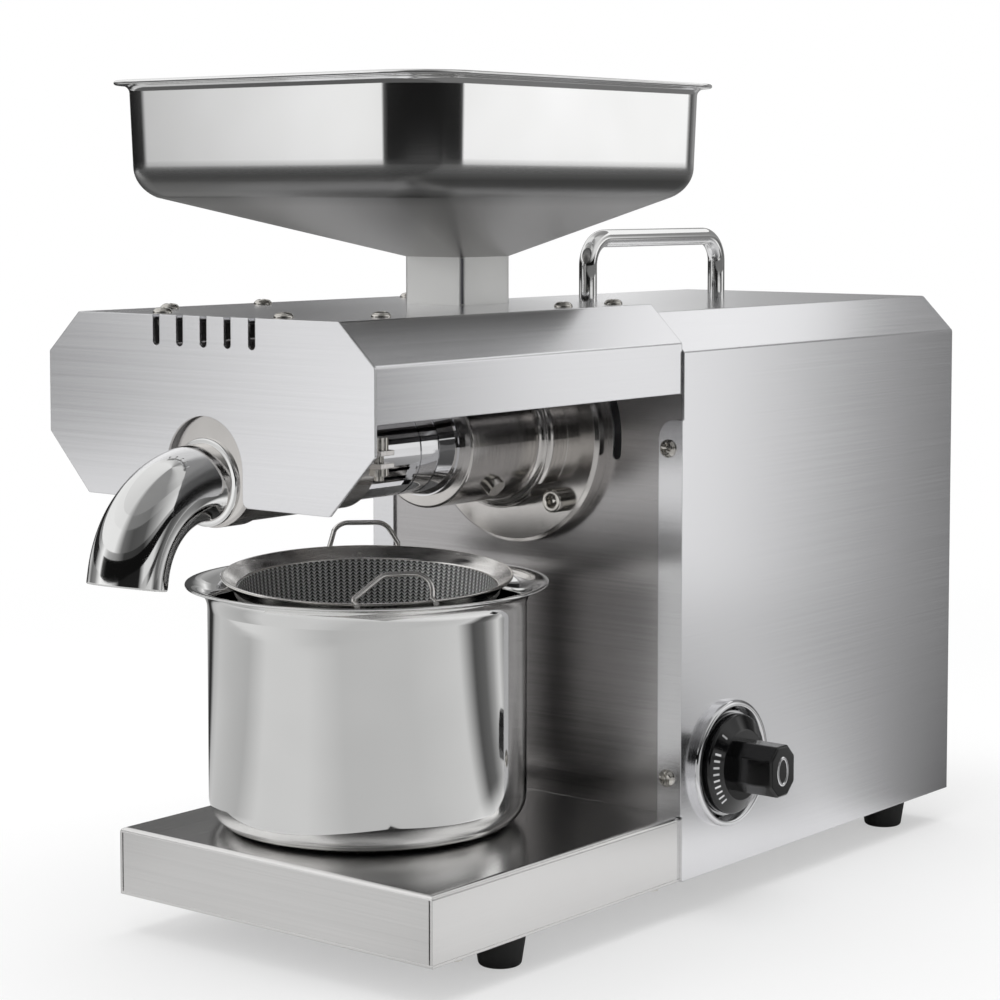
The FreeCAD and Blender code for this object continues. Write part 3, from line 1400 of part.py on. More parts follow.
def gear_rings():
    """Ball bearings of the two gearbox shafts and of the motor shaft, as plain rings."""
    front = GEARBOX_Y
    back = GEARBOX_BACK_Y
    rings = []
    for y in (front, back):
        rings.append(tube_y(OUTPUT_BEARING_R, OUTPUT_R + RUN_FIT, y, y + BEARING_WIDTH))
        rings.append(tube_y(LAY_BEARING_R, LAY_R + RUN_FIT, y, y + BEARING_WIDTH, 0, LAY_Z))
    for y in motor_bearing_ys():
        rings.append(tube_y(MOTOR_BEARING_R, MOTOR_SHAFT_R + RUN_FIT, y, y + BEARING_WIDTH, 0, MOTOR_Z))
    return rings


def motor_bearing_ys():
    return (GEARBOX_REAR_Y + MOTOR_SEAT_WALL, MOTOR_END_Y - MOTOR_SEAT_WALL - BEARING_WIDTH)


def belt_outline(top_r, low_r, y):
    """Two circles, on the screw axis and the motor axis, joined by their outer tangents."""
    span = AXIS_Z - MOTOR_Z
    lean = math.asin((top_r - low_r) / span)
    cos, sin = math.cos(lean), math.sin(lean)
    top = [V(side * top_r * cos, y, AXIS_Z + top_r * sin) for side in (1, -1)]
    low = [V(side * low_r * cos, y, MOTOR_Z + low_r * sin) for side in (1, -1)]
    edges = [
        Part.Arc(top[0], V(0, y, AXIS_Z + top_r), top[1]).toShape(),
        Part.LineSegment(top[1], low[1]).toShape(),
        Part.Arc(low[1], V(0, y, MOTOR_Z - low_r), low[0]).toShape(),
        Part.LineSegment(low[0], top[0]).toShape(),
    ]
    return Part.Face(Part.Wire(edges))


def ear_places():
    top = math.radians(EAR_TOP_ANGLE)
    foot = math.radians(EAR_FOOT_ANGLE)
    places = []
    for side in (-1, 1):
        places.append((side * GEARBOX_TOP_R * math.cos(top), AXIS_Z + GEARBOX_TOP_R * math.sin(top)))
        places.append((side * GEARBOX_TOP_R, LAY_Z))
        places.append((side * GEARBOX_FOOT_R * math.cos(foot), MOTOR_Z - GEARBOX_FOOT_R * math.sin(foot)))
    return places


def gearbox_body(y0, y1):
    body = belt_outline(GEARBOX_TOP_R, GEARBOX_FOOT_R, y0).extrude(V(0, y1 - y0, 0))
    ears = [rod_y(EAR_R, y0, y1, x, z) for x, z in ear_places()]
    return body.multiFuse(ears)


def gearbox_housing():
    y0, y1 = GEARBOX_Y, GEARBOX_BACK_Y
    hollow_y = y0 + GEARBOX_WALL
    hollow = belt_outline(GEARBOX_TOP_R - GEARBOX_SKIN, GEARBOX_FOOT_R - GEARBOX_SKIN, hollow_y)
    cuts = [
        hollow.extrude(V(0, y1 - hollow_y, 0)),
        rod_y(OUTPUT_BEARING_R, y0, hollow_y),
        rod_y(LAY_BEARING_R, y0, hollow_y, 0, LAY_Z),
    ]
    for x, z in flange_bolt_places():
        cuts.append(rod_y(M6_R, y0, hollow_y, x, z))
    keep = hollow.extrude(V(0, y1 - hollow_y, 0))
    for x, z in ear_places():
        cuts.append(rod_y(M3_R, y1 - GEARBOX_SCREW_GRIP - SAFE_GAP, y1, x, z).cut(keep))
    return cut_all(gearbox_body(y0, y1), cuts).removeSplitter()


def gearbox_cover():
    y0, y1 = GEARBOX_BACK_Y, GEARBOX_REAR_Y
    cuts = [
        rod_y(OUTPUT_BEARING_R, y0, y1),
        rod_y(LAY_BEARING_R, y0, y1, 0, LAY_Z),
        rod_y(MOTOR_BEARING_R, y0, y1, 0, MOTOR_Z),
    ]
    for x, z in ear_places():
        cuts.append(rod_y(M3_R + HOLE_PLAY, y0, y1, x, z))
        cuts.append(rod_y(M3_HEAD_R + HOLE_PLAY, gearbox_screw_seat_y(), y1, x, z))
    for x, z in motor_screw_places():
        cuts.append(rod_y(M4_R + HOLE_PLAY, y0, y1, x, z))
    return cut_all(gearbox_body(y0, y1), cuts).removeSplitter()


def gearbox_screw_seat_y():
    """The heads are sunk into the gearbox cover, clear of the motor."""
    return GEARBOX_REAR_Y - M3_HEAD_H - HOLE_PLAY


def gearbox_screws():
    length = GEARBOX_WALL + GEARBOX_SCREW_GRIP - M3_HEAD_H
    seats = [V(x, gearbox_screw_seat_y(), z) for x, z in ear_places()]
    return [screw(seat, AXIS_Y * -1, M3_HEAD_R, M3_HEAD_H, M3_R, length) for seat in seats]


def motor_screw_places():
    places = []
    x = MOTOR_BOLT_R * math.cos(math.radians(MOTOR_BOLT_ANGLE))
    z = MOTOR_BOLT_R * math.sin(math.radians(MOTOR_BOLT_ANGLE))
    for side in (1, -1):
        places += [(side * x, MOTOR_Z + z), (side * x, MOTOR_Z - z)]
    return places


def motor_bells():
    """Front and rear end bells, cup shaped, each with a bearing seat."""
    front = motor_bell(GEARBOX_REAR_Y, MOTOR_CAN_Y, True)
    rear = motor_bell(MOTOR_REAR_Y, MOTOR_END_Y, False)
    return [front, rear]


def motor_bell(y0, y1, front):
    bell = rod_y(MOTOR_R, y0, y1, 0, MOTOR_Z)
    seat_y = motor_bearing_ys()[0 if front else 1]
    seat = rod_y(MOTOR_BEARING_R, seat_y, seat_y + BEARING_WIDTH, 0, MOTOR_Z)
    shaft = rod_y(MOTOR_SHAFT_R + SHAFT_END_GAP, y0, y1, 0, MOTOR_Z)
    hollow_y = y1 - MOTOR_BELL_HOLLOW if front else y0
    hollow = rod_y(MOTOR_R - MOTOR_WALL, hollow_y, hollow_y + MOTOR_BELL_HOLLOW, 0, MOTOR_Z)
    cuts = [seat, shaft, hollow]
    if front:
        depth = MOTOR_BOLT_GRIP + SAFE_GAP
        cuts += [rod_y(M4_R, y0, y0 + depth, x, z) for x, z in motor_screw_places()]
    return cut_all(bell, cuts)


def motor_screws():
    """Screws from inside the gearbox that hold the motor on the gearbox cover."""
    seats = [V(x, GEARBOX_BACK_Y, z) for x, z in motor_screw_places()]
    length = GEARBOX_WALL + MOTOR_BOLT_GRIP
    return [screw(seat, AXIS_Y, M4_HEAD_R, M4_HEAD_H, M4_R, length) for seat in seats]


def motor_can():
    return tube_y(MOTOR_R, MOTOR_R - MOTOR_WALL, MOTOR_CAN_Y, MOTOR_REAR_Y, 0, MOTOR_Z)


def rotor_ys():
    middle = (MOTOR_CAN_Y + MOTOR_REAR_Y) / 2
    return (middle - ROTOR_LENGTH / 2, middle + ROTOR_LENGTH / 2)


def motor_stator():
    y0, y1 = rotor_ys()
    return tube_y(MOTOR_R - MOTOR_WALL, ROTOR_R + AIR_GAP, y0, y1, 0, MOTOR_Z)


def fan_ys():
    return (MOTOR_END_Y + FAN_GAP, MOTOR_END_Y + FAN_GAP + FAN_WIDTH)


def motor_shaft():
    """Shaft, rotor and the small pinion that drives the layshaft."""
    y0, y1 = rotor_ys()
    tail = fan_ys()[1]
    shaft = rod_y(MOTOR_SHAFT_R, HIGH_Y - PINION_EXTRA, tail, 0, MOTOR_Z)
    rotor = rod_y(ROTOR_R, y0, y1, 0, MOTOR_Z)
    half_tooth = 180.0 / HIGH_PINION_TEETH
    y0 = HIGH_Y - PINION_EXTRA / 2
    y1 = HIGH_Y + HIGH_FACE + PINION_EXTRA / 2
    pinion = gear(HIGH_MODULE, HIGH_PINION_TEETH, 90 + half_tooth, PINION_ADDENDUM, 3, MOTOR_Z, y0, y1)
    return shaft.multiFuse([rotor, pinion]).removeSplitter()


def motor_fan():
    y0, y1 = fan_ys()
    hub_r = MOTOR_SHAFT_R * 2
    hub = rod_y(hub_r, y0, y1, 0, MOTOR_Z)
    blades = []
    for i in range(FAN_BLADES):
        half = FAN_BLADE_THICK / 2
        blade = box(hub_r - half, FAN_R, y0 + half, y1 - half, MOTOR_Z - half, MOTOR_Z + half)
        blade.rotate(V(0, (y0 + y1) / 2, MOTOR_Z), AXIS_X, FAN_BLADE_PITCH)
        blades.append(turned_y(blade, 360.0 * i / FAN_BLADES, 0, MOTOR_Z))
    fan = hub.multiFuse(blades)
    return fan.cut(rod_y(MOTOR_SHAFT_R, y0, y1, 0, MOTOR_Z)).removeSplitter()


def cradle_middle_y():
    return (MOTOR_CAN_Y + MOTOR_REAR_Y) / 2


def motor_cradle():
    """A plate with two upright ribs, hollowed to the motor's round."""
    half = CRADLE_WIDTH / 2
    y = cradle_middle_y()
    y0 = y - CRADLE_LENGTH / 2
    y1 = y + CRADLE_LENGTH / 2
    z0 = TRAY_TOP_Z
    plate = box(-half, half, y0, y1, z0, z0 + CRADLE_PLATE)
    rib_top = MOTOR_Z - MOTOR_R * 0.6
    ribs = []
    for y_rib in (y0, y1 - CRADLE_PLATE):
        outline = [
            V(-half * 0.6, y_rib, z0),
            V(half * 0.6, y_rib, z0),
            V(half, y_rib, rib_top),
            V(-half, y_rib, rib_top),
        ]
        ribs.append(prism(outline, 0, V(0, CRADLE_PLATE, 0)))
    cradle = plate.multiFuse(ribs)
    cuts = [rod_y(MOTOR_R, y0, y1, 0, MOTOR_Z)]
    for side in (-1, 1):
        x = side * (half - EAR_R)
        cuts.append(rod_z(M4_R + HOLE_PLAY, z0, z0 + CRADLE_PLATE, x, y))
    return cut_all(cradle, cuts).removeSplitter()


def cradle_screws():
    seat_z = TRAY_TOP_Z + CRADLE_PLATE
    xs = (-CRADLE_WIDTH / 2 + EAR_R, CRADLE_WIDTH / 2 - EAR_R)
    down = AXIS_UP * -1
    length = CRADLE_PLATE + SHEET + SCREW_GRIP
    seats = [V(x, cradle_middle_y(), seat_z) for x in xs]
    return [screw(seat, down, M4_HEAD_R, M4_HEAD_H, M4_R, length) for seat in seats]


def board_corner():
    return (BOARD_SIDE_INSET - BODY_WIDTH / 2, REAR_Y - BOARD_REAR_INSET - BOARD_WIDTH)


def standoff_places():
    inset = 2 * STANDOFF_R
    x0, y0 = board_corner()
    xs = (x0 + inset, x0 + BOARD_LENGTH - inset)
    ys = (y0 + inset, y0 + BOARD_WIDTH - inset)
    return [(x, y) for x in xs for y in ys]


def board_standoffs():
    return [rod_z(STANDOFF_R, TRAY_TOP_Z, TRAY_TOP_Z + STANDOFF_H, x, y) for x, y in standoff_places()]


def control_board():
    """The board that feeds the heater and the motor, with its taller parts."""
    z0 = TRAY_TOP_Z + STANDOFF_H
    z1 = z0 + BOARD_THICK
    x0, y0 = board_corner()
    board = box(x0, x0 + BOARD_LENGTH, y0, y0 + BOARD_WIDTH, z0, z1)
    middle_y = y0 + BOARD_WIDTH / 2
    quarter = BOARD_LENGTH / 4
    capacitor = rod_z(CAPACITOR[0], z1, z1 + CAPACITOR[1], x0 + quarter, middle_y)
    relay = standing_block(RELAY, x0 + 3 * quarter, middle_y, z1)
    terminal = standing_block(TERMINAL, x0 + 2 * quarter, middle_y, z1)
    return board.multiFuse([capacitor, relay, terminal])


def standing_block(size, x, y, z):
    length, width, height = size
    return box(x - length / 2, x + length / 2, y - width / 2, y + width / 2, z, z + height)


def power_inlet():
    """A three-pin appliance inlet with its flange."""
    y = REAR_PANEL_Y
    flange = centred_box(INLET_X, INLET_Z, INLET_PLATE, y, y + PLATE_THICK)
    edges = [e for e in flange.Edges if e.BoundBox.YLength > PLATE_THICK - 0.01]
    flange = flange.makeFillet(INLET_CORNER, edges)
    body = centred_box(INLET_X, INLET_Z, INLET_BODY, y - INLET_DEPTH - INLET_WALL, y)
    mouth = (INLET_BODY[0] - 2 * INLET_WALL, INLET_BODY[1] - 2 * INLET_WALL)
    socket = centred_box(INLET_X, INLET_Z, mouth, y - INLET_DEPTH, y + PLATE_THICK)
    cuts = [socket]
    for side in (-1, 1):
        x = INLET_X + side * INLET_SCREW_PITCH / 2
        cuts.append(rod_y(M3_R + HOLE_PLAY, y, y + PLATE_THICK, x, INLET_Z))
    inlet = flange.fuse(body).cut(group(cuts))
    pins = []
    foot = y - INLET_DEPTH
    for dx, dz in ((-PIN_PITCH, -PIN_OFFSET), (0, PIN_OFFSET), (PIN_PITCH, -PIN_OFFSET)):
        pins.append(centred_box(INLET_X + dx, INLET_Z + dz, PIN_SIZE, foot, foot + PIN_LENGTH))
    return inlet.multiFuse(pins).removeSplitter()


def inlet_screws():
    y = REAR_PANEL_Y + PLATE_THICK
    xs = (INLET_X - INLET_SCREW_PITCH / 2, INLET_X + INLET_SCREW_PITCH / 2)
    back = AXIS_Y * -1
    length = PLATE_THICK + SHEET + SCREW_GRIP
    return [screw(V(x, y, INLET_Z), back, M3_HEAD_R, M3_HEAD_H, M3_R, length) for x in xs]


def switch_frame(x):
    y = REAR_PANEL_Y
    flange = centred_box(x, SWITCH_Z, SWITCH_PLATE, y, y + PLATE_THICK)
    body = centred_box(x, SWITCH_Z, SWITCH_BODY, y - SWITCH_DEPTH, y)
    mouth = switch_mouth()
    hollow = centred_box(x, SWITCH_Z, mouth, y - SWITCH_DEPTH + SWITCH_WALL, y + PLATE_THICK)
    frame = flange.fuse(body).cut(hollow)
    axle = rod_x(AXLE_R, x - mouth[0] / 2, x + mouth[0] / 2, rocker_pivot_y(), SWITCH_Z)
    return frame.fuse(axle).removeSplitter()


def switch_mouth():
    return (SWITCH_BODY[0] - 2 * SWITCH_WALL, SWITCH_BODY[1] - 2 * SWITCH_WALL)


def rocker_pivot_y():
    return REAR_PANEL_Y - AXLE_DEPTH


def rocker(x, tilt):
    """A rocker cap with two shallow faces, tilted about its axle."""
    pivot = rocker_pivot_y()
    width = switch_mouth()[0] - 2 * ROCKER_PLAY
    half = switch_mouth()[1] / 2 - 2 * ROCKER_PLAY
    x0 = x - width / 2
    back = pivot - 2 * AXLE_R
    front = pivot + ROCKER_REACH
    outline = [
        V(x0, back, SWITCH_Z - half / 2),
        V(x0, back, SWITCH_Z + half / 2),
        V(x0, pivot, SWITCH_Z + half),
        V(x0, front, SWITCH_Z + half - ROCKER_PLAY),
        V(x0, front - ROCKER_DIP, SWITCH_Z),
        V(x0, front, SWITCH_Z - half + ROCKER_PLAY),
        V(x0, pivot, SWITCH_Z - half),
    ]
    cap = prism(outline, [0, 0, 0, 0.6, 6, 0.6, 0], V(width, 0, 0))
    cap = cap.cut(rod_x(AXLE_R + RUN_FIT, x0, x0 + width, pivot, SWITCH_Z))
    cap.rotate(V(x, pivot, SWITCH_Z), AXIS_X, tilt)
    return cap


def fuse_holder():
    y = REAR_PANEL_Y
    body = rod_y(FUSE_R, y - FUSE_LENGTH, y, FUSE_X, INLET_Z)
    cap = rod_y(FUSE_CAP_R, y, y + FUSE_CAP, FUSE_X, INLET_Z)
    slot = centred_box(FUSE_X, INLET_Z, (2 * FUSE_CAP_R, FUSE_SLOT), y + FUSE_CAP - SHEET, y + FUSE_CAP)
    return body.fuse(cap).removeSplitter().cut(slot)


def write(name, shape):
    if isinstance(shape, list):
        shape = group(shape)
    shape.exportStep("parts/" + name + ".step")
    print(name, len(shape.Solids), "valid" if shape.isValid() else "NOT VALID", round(shape.Volume, 1))


def main():
    os.makedirs("parts", exist_ok=True)
    write("base_tray", base_tray())
    write("bottom_plate", bottom_plate())
    write("rubber_feet", [rubber_foot(x, y) for x, y in foot_places()])
    write("foot_screws", [foot_screw(x, y) for x, y in foot_places()])
    write("bottom_screws", [bottom_screw(x, y) for x, y in bottom_screw_places()])
    write("front_panel", front_panel())
    write("housing_cover", housing_cover())
    write("cover_screws", cover_screws())
    write("rear_panel", rear_panel())
    write("carry_handle", carry_handle())
    write("handle_screws", handle_screws())
    write("head_cover", head_cover())
    write("head_frame", head_frame())
    write("head_cover_screws", head_cover_screws())
    write("barrel_holder", barrel_holder())
    write("flange_bolts", [flange_bolt(x, z) for x, z in flange_bolt_places()])
    write("barrel_lock_bolt", barrel_lock_bolt())
    write("shaft_seal", shaft_seal())
    write("press_barrel", press_barrel())
    write("press_screw", press_screw())
    write("heater_band", heater_band())
    write("heater_clamp_bolt", heater_clamp_bolt())
    write("heater_terminals", heater_terminals())
    write("outlet_collar", outlet_collar())
    write("outlet_elbow", outlet_elbow())
    write("feed_chute", feed_chute())
    write("hopper", hopper())
    write("hopper_neck", hopper_neck())
    write("oil_pot", oil_pot())
    write("strainer_frame", strainer_frame())
    write("strainer_mesh", strainer_mesh())
    write("strainer_handles", strainer_handles())
    write("knob_bezel", knob_bezel())
    write("dial_knob", dial_knob())
    write("thermostat_stem", thermostat_stem())
    write("thermostat_body", thermostat_body())
    write("gearbox_housing", gearbox_housing())
    write("gearbox_cover", gearbox_cover())
    write("gearbox_screws", gearbox_screws())
    write("output_gear", output_gear())
    write("output_shaft", output_shaft())
    write("bearings", gear_rings())
    write("lay_gear", lay_gear())
    write("lay_shaft", lay_shaft())
    write("motor_shaft", motor_shaft())
    write("motor_stator", motor_stator())
    write("motor_can", motor_can())
    write("motor_bells", motor_bells())
    write("motor_screws", motor_screws())
    write("motor_fan", motor_fan())
    write("motor_cradle", motor_cradle())
    write("cradle_screws", cradle_screws())
    write("control_board", control_board())
    write("board_standoffs", board_standoffs())
    write("power_inlet", power_inlet())
    write("inlet_screws", inlet_screws())
    write("switch_frames", [switch_frame(side * SWITCH_X) for side in (-1, 1)])
    write("power_rocker", rocker(-SWITCH_X, -SWITCH_TILT))
    write("direction_rocker", rocker(SWITCH_X, 0.0))
    write("fuse_holder", fuse_holder())


main()
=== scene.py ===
"""Looks of the table-top screw oil press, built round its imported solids.

Sizes are written in millimetres and turned to metres when a mesh is made. +X is the side
with the heat dial, -Y the side with the cake outlet, and the press stands on Z = 0.
"""
import bpy
import bmesh
import json
import math
from mathutils import Matrix, Vector


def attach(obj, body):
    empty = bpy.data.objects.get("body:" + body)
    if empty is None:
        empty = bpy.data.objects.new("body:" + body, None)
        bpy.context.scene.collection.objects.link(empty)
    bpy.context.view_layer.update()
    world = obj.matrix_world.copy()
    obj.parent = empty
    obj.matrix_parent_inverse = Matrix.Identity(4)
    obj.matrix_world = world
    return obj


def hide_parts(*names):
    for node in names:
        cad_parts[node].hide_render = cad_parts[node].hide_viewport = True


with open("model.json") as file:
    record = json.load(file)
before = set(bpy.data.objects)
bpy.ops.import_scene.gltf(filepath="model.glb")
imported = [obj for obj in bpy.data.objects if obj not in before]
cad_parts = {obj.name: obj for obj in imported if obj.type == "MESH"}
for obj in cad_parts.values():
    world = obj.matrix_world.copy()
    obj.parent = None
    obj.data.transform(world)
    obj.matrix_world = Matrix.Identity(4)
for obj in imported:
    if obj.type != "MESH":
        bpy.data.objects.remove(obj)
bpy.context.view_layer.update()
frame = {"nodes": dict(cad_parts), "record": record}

MM = 0.001
METRE = 1000.0

# Sizes and places shared with the solids
SHEET = 1.0
TRAY_TOP = 43.5
HOUSING_TOP = 253.0
HEAD_TOP = 256.4
PRESS_TOP = 347.0
PANEL = -32.0
REAR = 191.0
SIDE = 85.0
AXIS_HEIGHT = 199.0
FLANGE = -40.0
NECK_PLACE = -75.6
POT_PLACE = (-13.0, -118.0)
DIAL_PLACE = (1.0, 60.8)

# What the patterns measure in millimetres, a stroke as (length, width) and the others along X, Y and Z.
# Real scratches lie well under 0.1 mm apart, so these are drawn as coarse as they need to be to show.
STROKE = (METRE / 7, 10 / 13)
FINE_STROKE = (METRE / 7, 10 / 16)
TURNED_RINGS = (25.0, 10 / 9, 25.0)
GROUND_RINGS = (METRE / 60, 10 / 7, METRE / 60)
STEM_RINGS = (10 / 8, METRE / 60, METRE / 60)
WIPES = (METRE / 60, METRE / 60, 2.0)
ROLLING_LINES = (METRE / 12, METRE / 12, 10 / 9)
BROAD_CLOUDS = (METRE / 9,) * 3
CLOUDS = (METRE / 14,) * 3
MOULD_CLOUDS = (50.0,) * 3


# Helpers for finishes

def colour(code):
    """A colour written as #rrggbb, turned from sRGB to the linear values that shaders take."""
    channels = [int(code[i:i + 2], 16) / 255 for i in (1, 3, 5)]
    linear = [c / 12.92 if c <= 0.04045 else ((c + 0.055) / 1.055) ** 2.4 for c in channels]
    return (*linear, 1.0)


def add(tree, kind, settings=None, sockets=None):
    """Adds a shader node of a kind with its settings, and sets or links its input sockets."""
    made = tree.nodes.new("ShaderNode" + kind)
    for name, value in (settings or {}).items():
        setattr(made, name, value)
    for name, value in (sockets or {}).items():
        if isinstance(value, bpy.types.NodeSocket):
            tree.links.new(value, made.inputs[name])
        else:
            made.inputs[name].default_value = value
    return made


def new_material(name):
    """An empty material and its node tree."""
    finish = bpy.data.materials.new(name)
    finish.use_nodes = True
    finish.node_tree.nodes.clear()
    return finish, finish.node_tree


def new_finish(name, sockets):
    """A material with one surface shader, whose plain values are set on its own sockets."""
    finish, tree = new_material(name)
    shader = add(tree, "BsdfPrincipled", {}, sockets)
    add(tree, "OutputMaterial", {}, {"Surface": shader.outputs["BSDF"]})
    return finish, tree, shader


def grain(tree, sizes, detail=3.0):
    """Noise whose specks have these sizes in millimetres along the axes of the press."""
    place = add(tree, "TexCoord").outputs["Object"]
    scale = tuple(METRE / size for size in sizes)
    stretched = add(tree, "Mapping", {}, {"Vector": place, "Scale": scale})
    noise = add(tree, "TexNoise", {}, {
        "Vector": stretched.outputs["Vector"], "Scale": 1.0, "Detail": detail, "Roughness": 0.6,
    })
    return noise.outputs["Fac"]


def belt_lines(tree, long, wide):
    """Brush strokes that run level: along Y on the sides and roofs, along X on faces that look along Y."""
    side = grain(tree, (wide, long, wide))
    front = grain(tree, (long, wide, wide))
    normal = add(tree, "NewGeometry").outputs["Normal"]
    normal_y = add(tree, "SeparateXYZ", {}, {"Vector": normal}).outputs["Y"]
    size = add(tree, "Math", {"operation": "ABSOLUTE"}, {0: normal_y}).outputs[0]
    facing = add(tree, "Math", {"operation": "GREATER_THAN"}, {0: size, 1: 0.7}).outputs[0]
    return add(tree, "Mix", {"data_type": "FLOAT"}, {0: facing, 2: side, 3: front}).outputs[0]


def toned(tree, pattern, dark, light, start=0.3, end=0.7):
    """Two tones shared out by a pattern, of which start..end goes from the dark to the light one."""
    share = add(tree, "MapRange", {}, {"Value": pattern, "From Min": start, "From Max": end})
    return add(tree, "Mix", {"data_type": "RGBA"}, {
        0: share.outputs["Result"], 6: colour(dark), 7: colour(light),
    }).outputs[2]


def roughened(tree, shader, pattern, low, high, start=0.3, end=0.7):
    """Lets a pattern, of which start..end counts, move the roughness from low to high."""
    amount = add(tree, "MapRange", {}, {
        "Value": pattern, "From Min": start, "From Max": end, "To Min": low, "To Max": high,
    })
    tree.links.new(amount.outputs["Result"], shader.inputs["Roughness"])


def raised(tree, shader, height, depth, edge=0.0):
    """Raises the surface by a pattern; with an edge radius, sharp folds also catch a thin light line."""
    sockets = {"Height": height, "Distance": depth * MM, "Strength": 1.0}
    if edge:
        fold = add(tree, "Bevel", {"samples": 4}, {"Radius": edge * MM})
        sockets["Normal"] = fold.outputs["Normal"]
    made = add(tree, "Bump", {}, sockets)
    tree.links.new(made.outputs["Normal"], shader.inputs["Normal"])


def scored(name, dark, light, roughness, strokes_on, depth, edge=0.5):
    """Metal worked with an abrasive, with broad faint clouds under the strokes that strokes_on adds."""
    finish, tree, shader = new_finish(name, {"Metallic": 1.0})
    strokes = strokes_on(tree)
    clouds = grain(tree, BROAD_CLOUDS, 2.0)
    most = add(tree, "Math", {"operation": "MULTIPLY"}, {0: strokes, 1: 0.7}).outputs[0]
    both = add(tree, "Math", {"operation": "MULTIPLY_ADD"}, {0: clouds, 1: 0.3, 2: most}).outputs[0]
    tree.links.new(toned(tree, both, dark, light), shader.inputs["Base Color"])
    roughened(tree, shader, strokes, roughness - 0.015, roughness + 0.02)
    raised(tree, shader, strokes, depth, edge)
    return finish


def brushed(name, dark, light, roughness, stroke, depth):
    """Stainless sheet brushed with a belt: fine parallel lines that draw highlights out across them."""
    return scored(name, dark, light, roughness, lambda tree: belt_lines(tree, *stroke), depth)


def turned_metal(name, dark, light, roughness, sizes):
    """Metal off the lathe: rings round the turning axis, fine enough to blur the reflections."""
    return scored(name, dark, light, roughness, lambda tree: grain(tree, sizes), 0.006)


def polished(name, dark, light, roughness, wave=0.05):
    """Metal buffed on a wheel: a near mirror with long soft waves and a few wiping marks."""
    finish, tree, shader = new_finish(name, {"Metallic": 1.0})
    clouds = grain(tree, CLOUDS, 2.0)
    wipes = grain(tree, WIPES, 4.0)
    tree.links.new(toned(tree, clouds, dark, light), shader.inputs["Base Color"])
    roughened(tree, shader, wipes, roughness * 0.6, roughness * 1.6)
    raised(tree, shader, clouds, wave)
    return finish


def spun_bowl(name):
    """The hopper's sheet: bright polished walls above a funnel that keeps the satin of its rolling, coloured
    greyer as painted dark reflection, darkest round the knee.
    """
    finish, tree, shader = new_finish(name, {"Metallic": 1.0})
    knee, wall = (297.0, 303.0), (307.0, 315.0)
    place = add(tree, "TexCoord").outputs["Object"]
    height = add(tree, "SeparateXYZ", {}, {"Vector": place}).outputs["Z"]
    lines = grain(tree, ROLLING_LINES)
    clouds = grain(tree, CLOUDS, 2.0)
    bright = toned(tree, clouds, "#f4f4f3", "#fdfdfd")
    # Painted dark reflection: the funnel is grey and turns darker still round the knee
    satin = toned(tree, height, "#b6b5b3", "#868685", *(z * MM for z in knee))
    start, end = (z * MM for z in wall)
    polish = add(tree, "MapRange", {}, {"Value": height, "From Min": start, "From Max": end}).outputs["Result"]
    tone = add(tree, "Mix", {"data_type": "RGBA"}, {0: polish, 6: satin, 7: bright}).outputs[2]
    tree.links.new(tone, shader.inputs["Base Color"])
    roughened(tree, shader, polish, 0.36, 0.11, 0, 1)
    raised(tree, shader, lines, 0.002)
    return finish


def textured(name, sockets, roughness, grit, depth):
    """A plain surface with an even fine texture, whose specks measure grit millimetres."""
    finish, tree, shader = new_finish(name, sockets)
    specks = grain(tree, (grit,) * 3)
    clouds = grain(tree, MOULD_CLOUDS, 2.0)
    roughened(tree, shader, clouds, roughness * 0.85, roughness * 1.15)
    raised(tree, shader, specks, depth)
    return finish


def moulded(name, code, roughness, grit, depth, coat=0.0):
    """Moulded plastic, rubber, ceramic or enamel with the fine texture of its mould."""
    return textured(name, {
        "Base Color": colour(code), "IOR": 1.49, "Coat Weight": coat, "Coat Roughness": 0.08,
    }, roughness, grit, depth)


def blasted(name, code, roughness, grit, depth):
    """Metal with the even matt pits of bead blasting or of a sand mould."""
    return textured(name, {"Base Color": colour(code), "Metallic": 1.0}, roughness, grit, depth)


def woven(name):
    """Twill of stainless wire: ribs down the basket with wires that zigzag between them."""
    rib_pitch, wire_pitch = 2.6 * MM, 1.3 * MM
    slant, rib_height, wire_height = 0.9, 1.6, 0.4
    finish, tree, shader = new_finish(name, {"Metallic": 0.4, "Roughness": 0.4})
    wrap = add(tree, "UVMap", {"uv_map": "wrap"}).outputs["UV"]
    parts = add(tree, "SeparateXYZ", {}, {"Vector": wrap})
    x, y = parts.outputs["X"], parts.outputs["Y"]
    fold = add(tree, "Math", {"operation": "PINGPONG"}, {0: x, 1: rib_pitch / 2}).outputs[0]
    slanted = add(tree, "Math", {"operation": "MULTIPLY_ADD"}, {0: fold, 1: slant, 2: y}).outputs[0]
    turns = add(tree, "Math", {"operation": "MULTIPLY"}, {0: slanted, 1: 2 * math.pi / wire_pitch}).outputs[0]
    wires = add(tree, "Math", {"operation": "SINE"}, {0: turns}).outputs[0]
    ribs = add(tree, "Math", {"operation": "MULTIPLY"}, {0: fold, 1: rib_height / rib_pitch}).outputs[0]
    height = add(tree, "Math", {"operation": "MULTIPLY_ADD"}, {0: wires, 1: wire_height, 2: ribs}).outputs[0]
    # Painted light by height: near black in the low places between the wires as painted shade, white on their
    # crowns as painted highlight
    tree.links.new(toned(tree, height, "#1c1b19", "#ffffff", 0.0, 0.9), shader.inputs["Base Color"])
    raised(tree, shader, height, 0.3)
    return finish


